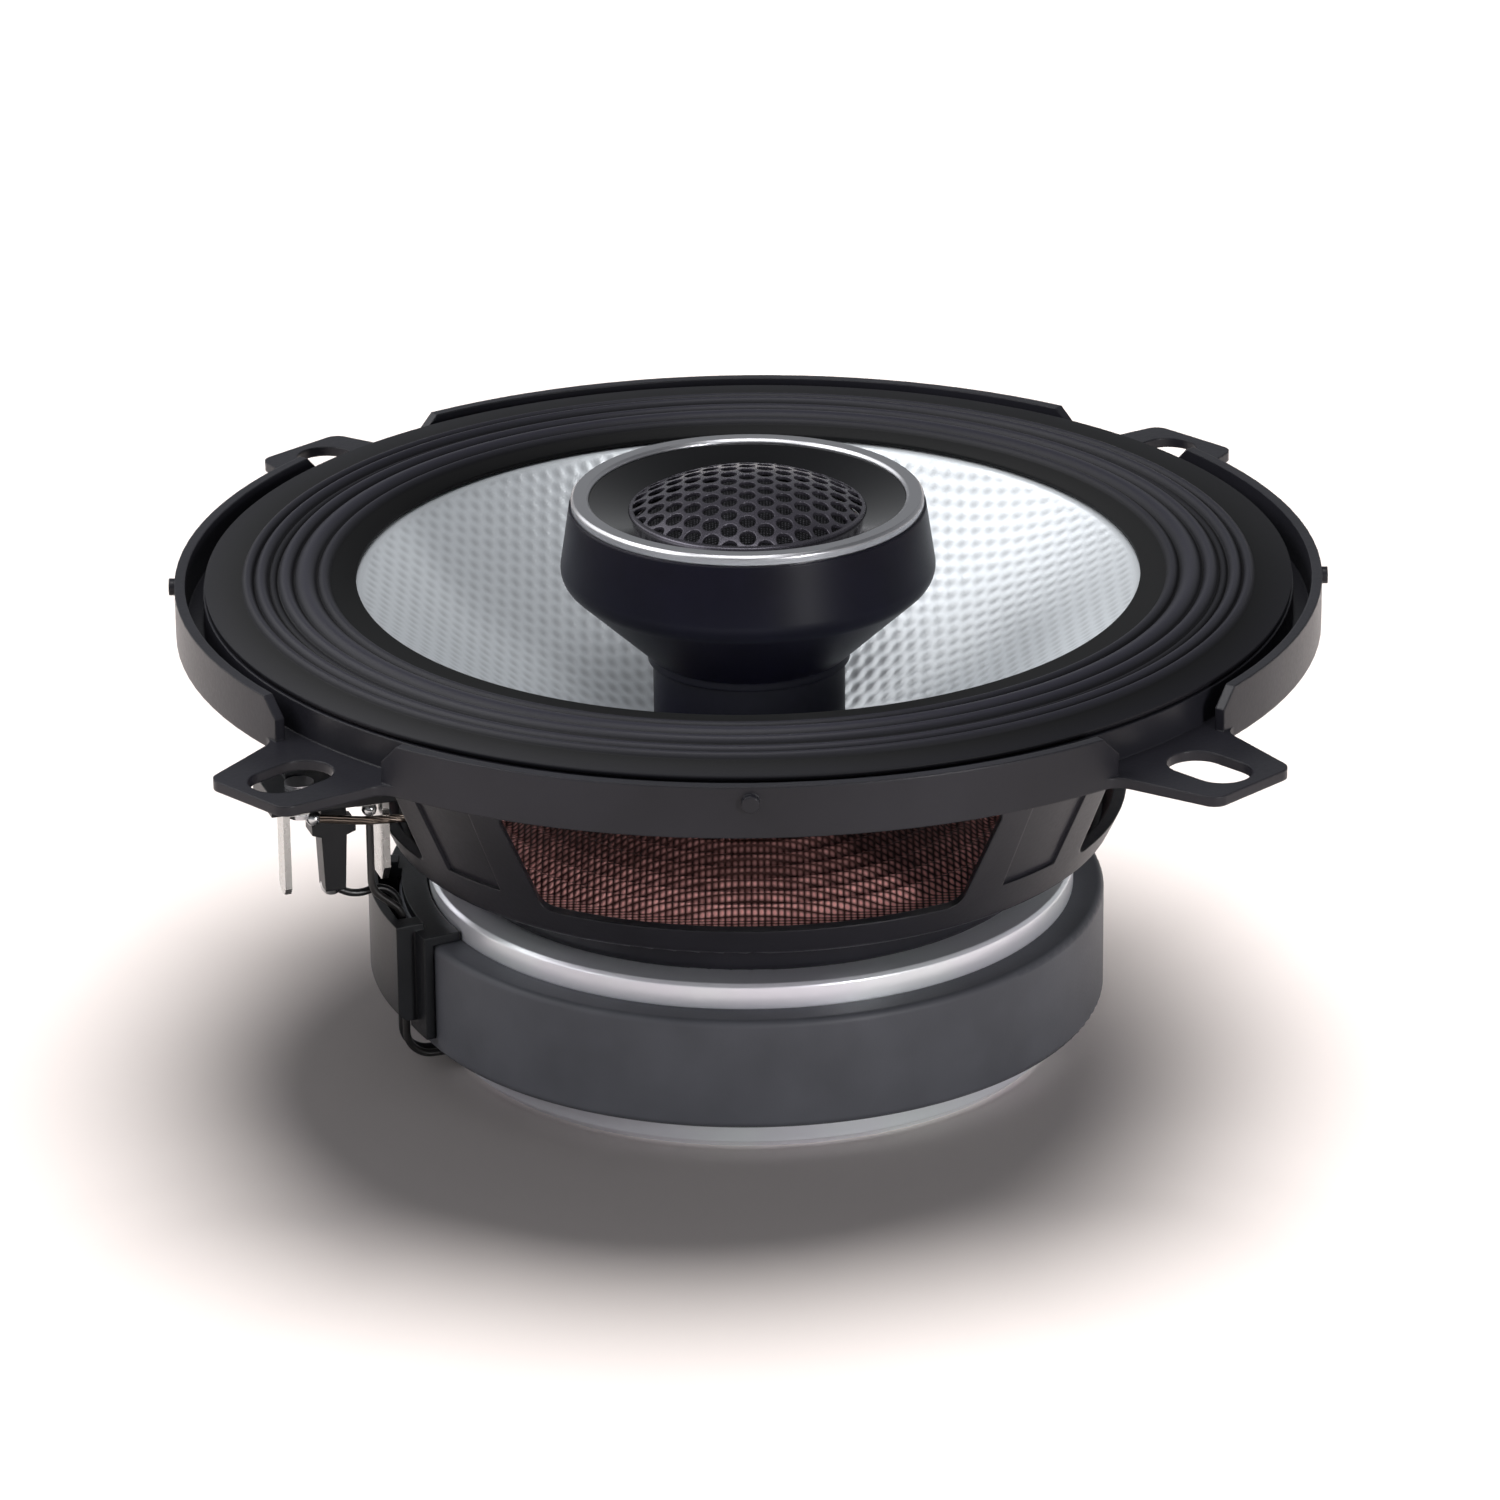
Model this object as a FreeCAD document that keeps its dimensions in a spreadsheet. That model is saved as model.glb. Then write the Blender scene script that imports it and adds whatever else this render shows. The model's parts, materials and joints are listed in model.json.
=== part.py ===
import FreeCAD, Part

import math
import os
import re

import Sketcher

# Coaxial car speaker, millimetres. The origin is the centre of the back plate's rear face and
# +Z is the way the speaker plays. The four mounting ears lie on +X, -X, +Y and -Y.

SIZES = {
    # how far a cut runs past the material
    "cut_room": 1.0,
    # basket
    "sheet": 1.2, "wall": 1.3, "ear_under": 51.2, "ear_count": 4,
    "base_bore": 15.5, "base_level": 21.0, "base_radius": 34.7,
    "ledge_radius": 42.4, "ledge_under": 26.6, "ledge_bend": 1.5,
    "sill_radius": 44.0, "sill_level": 30.0, "bowl_radius": 53.85,
    "seat_inner": 57.4, "seat_outer": 63.2, "seat_level": 56.2,
    "rim_inner": 65.3, "rim_radius": 66.5, "rim_level": 57.2, "rim_angle": 75.0, "rim_bevel": 2.2,
    "nib_radius": 1.0, "nib_reach": 0.8, "nib_level": 55.4,
    "ear_root": 63.0, "ear_root_half": 9.4, "ear_tip": 78.15, "ear_tip_half": 6.15,
    "ear_tip_round": 1.8, "ear_root_round": 2.5,
    "slot_centre": 71.5, "slot_width": 6.8, "slot_length": 10.4,
    "window_low": 30.3, "window_high": 45.0, "window_low_half": 23.5, "window_high_half": 29.0,
    "window_round": 2.2, "bend_ease": 0.8, "wall_ease": 0.4, "ledge_ease": 1.0,
    "ear_root_ease": 0.35, "nib_root": 0.4, "arm_dent": 0.4, "arm_dent_low": 31.5, "arm_dent_high": 46.5,
    "arm_dent_angle": 11.0,
    # woofer motor
    "back_radius": 37.0, "back_thick": 4.6, "back_bevel": 0.9, "pole_radius": 12.15,
    "pole_bore": 4.05, "lead_groove_width": 5.0, "lead_groove_depth": 2.8,
    "magnet_radius": 41.6, "magnet_bore": 16.0, "magnet_top": 18.0, "magnet_round": 0.8,
    "plate_radius": 38.0, "plate_bore": 13.55, "plate_top": 21.0, "plate_bevel": 0.4,
    # rivets that hold the basket on the top plate
    "rivet_circle": 25.0, "rivet_shank": 1.6, "rivet_head": 3.0, "rivet_head_high": 1.2,
    "rivet_sunk": 2.4, "rivet_head_taper": 0.8,
    # moving coil and cone
    "former_inner": 12.5, "former_outer": 12.7, "former_low": 14.6, "former_high": 33.4,
    "coil_outer": 13.15, "coil_low": 15.0, "coil_high": 24.0,
    "cone_neck": 32.4, "cone_edge": 45.2, "cone_lip": 47.8, "cone_level": 56.2, "cone_thick": 0.5,
    # suspension
    "surround_inner": 45.5, "roll_start": 48.4, "roll_end": 57.6, "roll_count": 4,
    "roll_bulge": 1.35, "lip_step": 0.2, "lip_outer": 63.0, "lip_thick": 0.8, "roll_under": 56.6,
    "spider_inner": 13.1, "spider_collar": 15.0, "wave_end": 34.6, "spider_outer": 40.6,
    "wave_count": 6, "wave_high": 1.7, "cloth": 0.6, "ledge_top": 27.8, "collar_high": 1.0,
    "seat_step": 0.1,
    # tweeter post and housing
    "post_radius": 11.2, "post_bore": 9.7, "post_floor": 3.0, "post_top": 46.2,
    "tenon_outer": 9.65, "tenon_inner": 8.6, "tenon_top": 48.6,
    "tenon_root": 1.0, "stem_bore": 2.5, "stem_low": 7.0,
    "neck_radius": 11.8, "neck_top": 47.2, "cup_radius": 21.95, "cup_level": 56.7,
    "cup_round": 2.5, "cup_mouth": 20.7, "cup_top": 65.0, "cup_inner": 17.6,
    "funnel_low": 49.2, "funnel_high": 55.2, "shelf_level": 62.4, "shelf_radius": 19.4,
    "trim_outer": 20.45, "trim_inner": 18.4, "trim_low": 65.0, "trim_top": 66.2,
    "trim_bevel": 0.3, "trim_step": 0.2, "trim_gap": 0.05, "guide_outer": 19.3,
    "guide_low": 63.0, "guide_step": 17.2, "guide_rim": 65.7, "guide_bore": 13.8, "guide_throat": 64.4,
    "grille_radius": 13.75, "grille_edge": 64.5, "grille_rise": 3.8, "grille_thick": 0.6,
    "grille_skirt": 0.9, "grille_hole": 0.9, "grille_pitch": 2.5, "grille_rings": 5,
    # tweeter motor
    "yoke_outer": 15.6, "yoke_inner": 13.4, "yoke_low": 55.4, "yoke_top": 62.2,
    "yoke_floor": 2.0, "yoke_bevel": 1.5, "neo_radius": 10.5, "neo_thick": 2.5,
    "pole_plate_radius": 12.2, "pole_plate_thick": 1.9,
    "small_coil_inner": 12.5, "small_coil_outer": 13.1, "small_coil_low": 58.6,
    "dome_level": 62.4, "dome_rise": 4.2, "dome_thick": 0.25, "dome_lip": 0.1,
    "edge_inner": 13.4, "edge_outer": 14.6, "edge_flange": 17.0, "edge_thick": 0.3,
    "edge_ease": 0.15,
    "capacitor_radius": 5.0, "capacitor_low": 32.0, "capacitor_high": 45.0,
    "capacitor_round": 0.6,
    # terminals, in a frame whose x runs outwards at terminal_angle
    "terminal_angle": 153.0, "board_inner": 43.6, "board_outer": 59.0, "board_half": 4.2,
    "board_under": 35.5, "board_top": 38.0, "leg_inner": 53.6, "leg_outer": 56.0,
    "leg_side": 0.6, "leg_top": 50.2, "leg_rivet_level": 47.6, "leg_rivet_side": 2.4,
    "divider_centre": 51.0, "divider_half": 1.5, "divider_wing": 2.6, "divider_low": 24.2,
    "divider_taper": 0.3, "wing_low": 31.4, "wing_high": 32.6, "wing_slope": 0.4,
    "board_sunk": 0.5, "flare_drop": 1.0, "blade_thick": 0.8, "blade_low": 25.0,
    "wide_blade": 44.8, "wide_half": 3.15, "wide_tail": 3.7, "wide_rivet": 47.4,
    "narrow_blade": 56.6, "narrow_half": 1.4, "narrow_side": 1.7, "narrow_tail": 2.9,
    "narrow_rivet": 55.0, "eyelet_shank": 1.0, "eyelet_head": 1.7, "eyelet_high": 0.5,
    "eyelet_foot": 1.4, "bracket_grip": 3.0, "blade_nose": 0.6, "tail_share": 0.8,
    "solder_radius": 1.3, "solder_side": 0.6, "small_bead": 0.9, "solder_high": 24.2,
    "wide_solder": 1.8, "wide_drop": 1.9, "tinsel_solder": 0.2, "tinsel_drop": 1.5,
    "narrow_solder": 1.3, "narrow_solder_side": 0.9, "narrow_drop": 1.4,
    # lead cover, in the same kind of frame
    "cover_angle": 142.0, "cover_inner": 41.75, "cover_outer": 42.9, "cover_low": 6.4,
    "cover_high": 19.2, "cover_sweep": 42.0, "cover_lip": 38.3, "cover_lip_under": 18.1,
    "chute_angle": 145.25, "chute_sweep": 28.5, "chute_outer": 45.2, "chute_low": 8.0,
    "chute_high": 20.0, "chute_bevel": 1.0, "chute_room_sweep": 22.5, "chute_room_outer": 44.1,
    # leads
    "lead_radius": 0.45, "lead_side": 0.9, "chute_line": 42.9, "groove_line": 1.6,
    "lead_bend": 2.7, "edge_bend": 3.2, "wide_bend": 4.0, "hang_bend": 3.0, "hang_level": 23.4,
    "hang_step": 0.2, "entry_drop": 0.2,
    "chute_mouth": 20.2, "step_level": 24.5, "side_line": 7.0, "side_low": 30.5, "side_high": 49.0,
    "yoke_line": 16.6, "yoke_line_level": 56.2, "link_line": 3.6, "link_level": 46.6,
    "solder_dip": 2.0, "solder_reach": 3.0, "solder_sunk": 0.4,
    "tinsel_radius": 0.5, "tinsel_side": 2.2, "tinsel_side_far": 4.18, "tinsel_wide_bend": 12.0,
    "tinsel_bend": 8.0, "tinsel_clear": 48.0, "tinsel_out": 38.0, "tinsel_out_level": 33.0,
    "tinsel_middle": 30.0, "tinsel_middle_level": 32.4, "tinsel_near": 24.0,
    "tinsel_near_level": 34.2, "tinsel_end": 20.4, "tinsel_end_level": 35.6,
}

# where a lead is soldered to each blade, in the terminals' own directions
SOLDERED = {
    "wide_bead": ("wide_blade + wide_solder", "lead_side", "board_under - wide_drop"),
    "tinsel_bead": ("wide_blade - tinsel_solder", "-tinsel_side", "board_under - tinsel_drop"),
    "narrow_bead": (
        "narrow_rivet - narrow_solder", "narrow_side + narrow_solder_side", "board_under - narrow_drop",
    ),
}

doc = FreeCAD.newDocument("coaxial_speaker")
sheet = doc.addObject("Spreadsheet::Sheet", "Sizes")
probe = doc.addObject("App::FeaturePython", "Probe")
probe.addProperty("App::PropertyFloat", "Reading")


def fill_sheet():
    """One row per driving size: its name in column A, its number in column B."""
    for row, (name, number) in enumerate(SIZES.items(), start=1):
        sheet.set(f"A{row}", name)
        sheet.set(f"B{row}", str(number))
        sheet.setAlias(f"B{row}", name)
    doc.recompute()


def formula(text):
    """A formula in size names, as the document's expression engine reads it."""
    return re.sub(
        r"[a-z_]+", lambda word: f"Sizes.{word[0]}" if word[0] in SIZES else word[0], str(text)
    )


def size(text):
    """The value that a formula in size names has now, read from the probe bound to it."""
    probe.setExpression("Reading", formula(text))
    if not probe.recompute():
        raise RuntimeError(f"no value for {text}")
    return probe.Reading


# ---- helpers for sketches and features ----


def new_body(name):
    body = doc.addObject("PartDesign::Body", name)
    body.Label = name
    return body


def datum(body, role):
    """A body's own origin plane or axis."""
    return next(part for part in body.Origin.OriginFeatures if part.Role == role)


def new_sketch(body, role, offset=None):
    sketch = body.newObject("Sketcher::SketchObject", f"{body.Name}_sketch")
    sketch.AttachmentSupport = (datum(body, role), [""])
    sketch.MapMode = "FlatFace"
    if offset:
        sketch.AttachmentOffset = offset
    return sketch


def turned_plane(angle, outward=0.0):
    """Offset that turns an upright sketch plane about the vertical, and moves it outwards."""
    turn = FreeCAD.Rotation(FreeCAD.Vector(0, 1, 0), angle)
    return FreeCAD.Placement(turn.multVec(FreeCAD.Vector(0, 0, outward)), turn)


def level_plane(height):
    return FreeCAD.Placement(FreeCAD.Vector(0, 0, size(height)), FreeCAD.Rotation())


def hold_point(sketch, geometry, end, x, y):
    """Hold a point at the formulas x and y, measured from the sketch's origin."""
    for kind, text, axis in (("DistanceX", x, -2), ("DistanceY", y, -1)):
        if str(text) == "0":
            sketch.addConstraint(Sketcher.Constraint("PointOnObject", geometry, end, axis))
            continue
        rule = Sketcher.Constraint(kind, -1, 1, geometry, end, size(text))
        number = sketch.addConstraint(rule)
        sketch.setExpression(f"Constraints[{number}]", formula(text))


def arc_between(start, end, radius):
    """Minor arc from start to end; a positive radius bulges to the right of the way it runs."""
    chord = end - start
    rise = math.sqrt(max(radius**2 - (chord.Length / 2) ** 2, 0.0))
    side = FreeCAD.Vector(-chord.y, chord.x, 0).normalize() * math.copysign(rise, radius)
    centre = (start + end) / 2 + side
    first, last = (start, end) if radius > 0 else (end, start)
    angles = [math.atan2(p.y - centre.y, p.x - centre.x) for p in (first, last)]
    circle = Part.Circle(centre, FreeCAD.Vector(0, 0, 1), abs(radius))
    return Part.ArcOfCircle(circle, angles[0], angles[1])


def outline(sketch, corners):
    """A closed outline through corners (x, y); (x, y, radius) leaves its corner on an arc."""
    points = [FreeCAD.Vector(size(corner[0]), size(corner[1]), 0) for corner in corners]
    first_geometry = len(sketch.Geometry)
    ends = []
    for index, corner in enumerate(corners):
        start, end = points[index], points[(index + 1) % len(points)]
        if len(corner) == 3:
            radius = size(corner[2])
            number = sketch.addGeometry(arc_between(start, end, radius), False)
            rule = Sketcher.Constraint("Radius", number, abs(radius))
            rule_number = sketch.addConstraint(rule)
            sketch.setExpression(f"Constraints[{rule_number}]", formula(f"abs({corner[2]})"))
            ends.append((1, 2) if radius > 0 else (2, 1))
        else:
            sketch.addGeometry(Part.LineSegment(start, end), False)
            ends.append((1, 2))
    for index, corner in enumerate(corners):
        here = first_geometry + index
        before = first_geometry + (index - 1) % len(corners)
        joint = Sketcher.Constraint("Coincident", before, ends[index - 1][1], here, ends[index][0])
        sketch.addConstraint(joint)
        hold_point(sketch, here, ends[index][0], corner[0], corner[1])


def rounded_outline(sketch, corners, radius):
    """A closed convex outline, anticlockwise, whose corners are rounded by tangent arcs."""
    points = [FreeCAD.Vector(size(x), size(y), 0) for x, y in corners]
    count, bend = len(points), size(radius)
    entries, exits = [], []
    for index, here in enumerate(points):
        back = (points[index - 1] - here).normalize()
        ahead = (points[(index + 1) % count] - here).normalize()
        reach = bend / math.tan(back.getAngle(ahead) / 2)
        entries.append(here + back * reach)
        exits.append(here + ahead * reach)
    for index in range(count):
        sketch.addGeometry(Part.LineSegment(exits[index], entries[(index + 1) % count]), False)
    for index in range(count):
        sketch.addGeometry(arc_between(entries[index], exits[index], bend), False)
    for index, (x, y) in enumerate(corners):
        arc, line, line_before = count + index, index, (index - 1) % count
        corner = sketch.addGeometry(Part.Point(points[index]), True)
        sketch.addConstraint([
            Sketcher.Constraint("Tangent", line_before, 2, arc, 1),
            Sketcher.Constraint("Tangent", arc, 2, line, 1),
            Sketcher.Constraint("PointOnObject", corner, 1, line),
            Sketcher.Constraint("PointOnObject", corner, 1, line_before),
        ])
        rule = sketch.addConstraint(Sketcher.Constraint("Radius", arc, bend))
        sketch.setExpression(f"Constraints[{rule}]", formula(radius))
        hold_point(sketch, corner, 1, x, y)


def slot_outline(sketch, centre, length, width):
    """A round-ended slot along the sketch's x axis."""
    half, radius = size(f"({length} - {width}) / 2"), size(f"{width} / 2")
    middle = size(centre)
    inner = FreeCAD.Vector(middle - half, 0, 0)
    outer = FreeCAD.Vector(middle + half, 0, 0)
    up, normal = FreeCAD.Vector(0, radius, 0), FreeCAD.Vector(0, 0, 1)
    quarter = math.pi / 2
    sketch.addGeometry(Part.ArcOfCircle(Part.Circle(outer, normal, radius), -quarter, quarter))
    sketch.addGeometry(Part.LineSegment(outer + up, inner + up))
    sketch.addGeometry(Part.ArcOfCircle(Part.Circle(inner, normal, radius), quarter, 3 * quarter))
    sketch.addGeometry(Part.LineSegment(inner - up, outer - up))
    for first, first_end, second, second_end in ((0, 2, 1, 1), (1, 2, 2, 1), (2, 2, 3, 1), (3, 2, 0, 1)):
        sketch.addConstraint(Sketcher.Constraint("Tangent", first, first_end, second, second_end))
    hold_point(sketch, 0, 3, f"{centre} + ({length} - {width}) / 2", "0")
    hold_point(sketch, 2, 3, f"{centre} - ({length} - {width}) / 2", "0")
    number = sketch.addConstraint(Sketcher.Constraint("Radius", 0, radius))
    sketch.setExpression(f"Constraints[{number}]", formula(f"{width} / 2"))


def circle_at(sketch, x, y, radius):
    """A circle held at the formulas x and y, with the radius formula."""
    centre = FreeCAD.Vector(size(x), size(y), 0)
    circle = Part.Circle(centre, FreeCAD.Vector(0, 0, 1), size(radius))
    number = sketch.addGeometry(circle, False)
    rule = sketch.addConstraint(Sketcher.Constraint("Radius", number, size(radius)))
    sketch.setExpression(f"Constraints[{rule}]", formula(radius))
    hold_point(sketch, number, 3, x, y)


def swept_round(body, kind, sketch, angle=None):
    """Revolution or Groove about the body's vertical axis, whole or centred on its sketch."""
    feature = body.newObject(f"PartDesign::{kind}", f"{body.Name}_{kind.lower()}")
    feature.Profile = sketch
    feature.ReferenceAxis = (sketch, ["V_Axis"])
    feature.Angle = 360
    if angle:
        feature.Midplane = True
        feature.setExpression("Angle", formula(angle))
    sketch.Visibility = False
    return feature


def pad(body, sketch, length, both_ways=False):
    feature = body.newObject("PartDesign::Pad", f"{body.Name}_pad")
    feature.Profile = sketch
    feature.setExpression("Length", formula(length))
    feature.Midplane = both_ways
    return feature


def pocket(body, sketch, length, reverse=False):
    """A pocket that must take material away, or the build stops."""
    doc.recompute()
    before = body.Shape.Volume
    feature = body.newObject("PartDesign::Pocket", f"{body.Name}_pocket")
    feature.Profile = sketch
    feature.setExpression("Length", formula(length))
    feature.Reversed = reverse
    doc.recompute()
    if body.Shape.Volume > before - 1e-6:
        raise RuntimeError(f"a pocket in {body.Label} cut nothing")
    return feature


def around(body, features, count):
    """Repeat features evenly about the vertical axis."""
    pattern = body.newObject("PartDesign::PolarPattern", f"{body.Name}_pattern")
    pattern.Originals = features
    pattern.Axis = (datum(body, "Z_Axis"), [""])
    pattern.Angle = 360
    pattern.setExpression("Occurrences", formula(count))
    body.Tip = pattern
    doc.recompute()
    return pattern


def soften(body, kind, amount, chosen):
    """Fillet or chamfer the edges that the test picks."""
    doc.recompute()
    base = body.Tip
    edges = base.Shape.Edges
    names = [f"Edge{number}" for number, edge in enumerate(edges, start=1) if chosen(edge)]
    if not names:
        raise RuntimeError(f"no edges to soften on {body.Label}")
    feature = body.newObject(f"PartDesign::{kind}", f"{body.Name}_{kind.lower()}")
    feature.Base = (base, names)
    feature.setExpression("Radius" if kind == "Fillet" else "Size", formula(amount))
    body.Tip = feature
    doc.recompute()
    return feature


def ring_edge(radius, level):
    """Test for a round edge about the vertical axis."""

    def test(edge):
        if not isinstance(edge.Curve, Part.Circle):
            return False
        centre = edge.Curve.Center
        near_axis = math.hypot(centre.x, centre.y) < 0.01
        near_level = abs(centre.z - size(level)) < 0.01
        return near_axis and near_level and abs(edge.Curve.Radius - size(radius)) < 0.01

    return test


def upright_edge(low, high):
    """Test for an upright straight edge whose distance from the axis is between two sizes."""

    def test(edge):
        ends = [vertex.Point for vertex in edge.Vertexes]
        if len(ends) != 2 or not isinstance(edge.Curve, Part.Line):
            return False
        upright = math.hypot(ends[0].x - ends[1].x, ends[0].y - ends[1].y) < 0.01
        return upright and size(low) < math.hypot(ends[0].x, ends[0].y) < size(high)

    return test


def turned(name, corners):
    """A body turned about the vertical axis from an outline of (radius, height) corners."""
    body = new_body(name)
    sketch = new_sketch(body, "XZ_Plane")
    outline(sketch, corners)
    swept_round(body, "Revolution", sketch)
    doc.recompute()
    return body


def ring(name, inner, outer, low, high):
    """A plain turned ring."""
    return turned(name, [(inner, low), (outer, low), (outer, high), (inner, high)])


def turn_to(piece, angle):
    """Turn a piece about the vertical axis to the azimuth that a size names."""
    piece.Placement = FreeCAD.Placement(
        FreeCAD.Vector(), FreeCAD.Rotation(FreeCAD.Vector(0, 0, 1), size(angle))
    )
    piece.setExpression("Placement.Rotation.Angle", formula(angle))
    doc.recompute()


def put(piece, feature_class, name, **values):
    """Add a Part primitive to a piece's list, its sizes bound to the sheet."""
    shape = doc.addObject(f"Part::{feature_class}", name)
    for key, text in values.items():
        shape.setExpression(key.replace("_at_", "."), formula(text))
    piece.append(shape)
    return shape


# ---- basket ----


def basket():
    body = new_body("basket")
    section = new_sketch(body, "XZ_Plane")
    outline(section, [
        ("base_bore", "base_level"),
        ("base_radius", "base_level"),
        ("base_radius + sheet", "ledge_under"),
        ("ledge_radius", "ledge_under"),
        ("sill_radius", "sill_level"),
        ("bowl_radius", "ear_under"),
        ("seat_inner + bend_ease", "seat_level - sheet"),
        ("seat_outer - sheet", "seat_level - sheet"),
        ("seat_outer - sheet", "ear_under"),
        ("rim_radius", "ear_under"),
        ("rim_radius", "ear_under + sheet"),
        ("seat_outer", "ear_under + sheet"),
        ("seat_outer", "seat_level"),
        ("seat_inner", "seat_level"),
        ("bowl_radius - wall", "ear_under + wall_ease"),
        ("sill_radius - wall", "sill_level + wall_ease"),
        ("ledge_radius - ledge_ease", "ledge_top"),
        ("base_radius", "ledge_top"),
        ("base_radius - sheet", "base_level + sheet"),
        ("base_bore", "base_level + sheet"),
    ])
    swept_round(body, "Revolution", section)
    bends = (
        ring_edge("base_radius", "base_level"), ring_edge("base_radius", "ledge_top"),
        ring_edge("ledge_radius", "ledge_under"), ring_edge("bowl_radius", "ear_under"),
        ring_edge("seat_inner", "seat_level"),
    )
    soften(body, "Fillet", "ledge_bend", lambda edge: any(bend(edge) for bend in bends))

    rim = new_sketch(body, "XZ_Plane", turned_plane(45))
    outline(rim, [
        ("rim_inner", "ear_under + sheet / 2"), ("rim_radius", "ear_under + sheet / 2"),
        ("rim_radius", "rim_level"), ("rim_inner", "rim_level"),
    ])
    rim_wall = swept_round(body, "Revolution", rim, "rim_angle")
    nib_sketch = new_sketch(body, "YZ_Plane", turned_plane(45, size("rim_radius - nib_root")))
    circle_at(nib_sketch, "0", "nib_level", "nib_radius")
    nib = pad(body, nib_sketch, "nib_reach + nib_root")

    ear_sketch = new_sketch(body, "XY_Plane", level_plane("ear_under"))
    outline(ear_sketch, [
        ("ear_root", "-ear_root_half - ear_root_ease"), ("ear_tip", "-ear_tip_half"),
        ("ear_tip", "ear_tip_half"), ("ear_root", "ear_root_half + ear_root_ease"),
    ])
    ear = pad(body, ear_sketch, "sheet")
    around(body, [rim_wall, nib, ear], "ear_count")
    soften(body, "Chamfer", "rim_bevel", rim_end_edge)
    soften(body, "Fillet", "ear_tip_round", upright_edge("ear_tip - 1", "ear_tip + 2"))
    soften(body, "Fillet", "ear_root_round", ear_root_edge)

    slot_sketch = new_sketch(body, "XY_Plane", level_plane("ear_under - cut_room"))
    slot_outline(slot_sketch, "slot_centre", "slot_length", "slot_width")
    slot = pocket(body, slot_sketch, "3 * sheet", reverse=True)
    around(body, [slot], "ear_count")

    window_sketch = new_sketch(body, "XZ_Plane", turned_plane(45))
    rounded_outline(window_sketch, [
        ("-window_low_half", "window_low"), ("window_low_half", "window_low"),
        ("window_high_half", "window_high"), ("-window_high_half", "window_high"),
    ], "window_round")
    window = pocket(body, window_sketch, "rim_radius")
    around(body, [window], "ear_count")

    dent_sketch = new_sketch(body, "XZ_Plane")
    slope = "(bowl_radius - sill_radius) / (ear_under - sill_level)"
    low, high = "arm_dent_low", "arm_dent_high"
    face_low = f"sill_radius + ({low} - sill_level) * {slope}"
    face_high = f"sill_radius + ({high} - sill_level) * {slope}"
    outline(dent_sketch, [
        (f"{face_low} - arm_dent", low), (f"{face_low} + cut_room", low),
        (f"{face_high} + cut_room", high), (f"{face_high} - arm_dent", high),
    ])
    dent = swept_round(body, "Groove", dent_sketch, "arm_dent_angle")
    around(body, [dent], "ear_count")

    rivet_holes = new_sketch(body, "XY_Plane", level_plane("base_level - cut_room"))
    circle_at(rivet_holes, "rivet_circle", "0", "rivet_shank")
    holes = pocket(body, rivet_holes, "3 * sheet", reverse=True)
    around(body, [holes], "ear_count")

    bracket_sketch = new_sketch(body, "YZ_Plane", turned_plane(size("terminal_angle")))
    circle_at(bracket_sketch, "-leg_rivet_side", "leg_rivet_level", "eyelet_shank")
    pocket(body, bracket_sketch, "leg_outer", reverse=True)
    return body


def rim_end_edge(edge):
    """Short level edges at the top of each rim wall's two ends."""
    ends = [vertex.Point for vertex in edge.Vertexes]
    if len(ends) != 2 or not isinstance(edge.Curve, Part.Line):
        return False
    return all(abs(point.z - size("rim_level")) < 0.01 for point in ends)


def ear_root_edge(edge):
    """Upright edges where an ear's side leaves the round flange."""
    ends = [vertex.Point for vertex in edge.Vertexes]
    if not upright_edge("rim_radius - 0.05", "rim_radius + 0.05")(edge):
        return False
    across = min(abs(ends[0].x), abs(ends[0].y))
    low = min(point.z for point in ends)
    return low < size("ear_under") + 0.01 and across < size("ear_root_half + 1")


# ---- woofer motor ----


def back_plate_pole():
    body = turned("back_plate_pole", [
        ("pole_bore", "0"), ("back_radius - back_bevel", "0"), ("back_radius", "back_bevel"),
        ("back_radius", "back_thick"), ("pole_radius", "back_thick"),
        ("pole_radius", "plate_top"), ("pole_bore", "plate_top"),
    ])
    groove_sketch = new_sketch(body, "XY_Plane")
    half = "lead_groove_width / 2"
    outline(groove_sketch, [
        ("0", f"-{half}"), ("back_radius + cut_room", f"-{half}"),
        ("back_radius + cut_room", half), ("0", half),
    ])
    pocket(body, groove_sketch, "lead_groove_depth", reverse=True)
    turn_to(body, "terminal_angle")
    return body


def ferrite_magnet():
    body = ring("ferrite_magnet", "magnet_bore", "magnet_radius", "back_thick", "magnet_top")
    rims = [ring_edge("magnet_radius", "back_thick"), ring_edge("magnet_radius", "magnet_top")]
    soften(body, "Fillet", "magnet_round", lambda edge: any(rim(edge) for rim in rims))
    return body


def top_plate():
    body = turned("top_plate", [
        ("plate_bore", "magnet_top"), ("plate_radius", "magnet_top"),
        ("plate_radius", "plate_top - plate_bevel"), ("plate_radius - plate_bevel", "plate_top"),
        ("plate_bore", "plate_top"),
    ])
    hole_sketch = new_sketch(body, "XY_Plane", level_plane("plate_top"))
    circle_at(hole_sketch, "rivet_circle", "0", "rivet_shank")
    hole = pocket(body, hole_sketch, "rivet_sunk")
    around(body, [hole], "ear_count")
    return body


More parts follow.
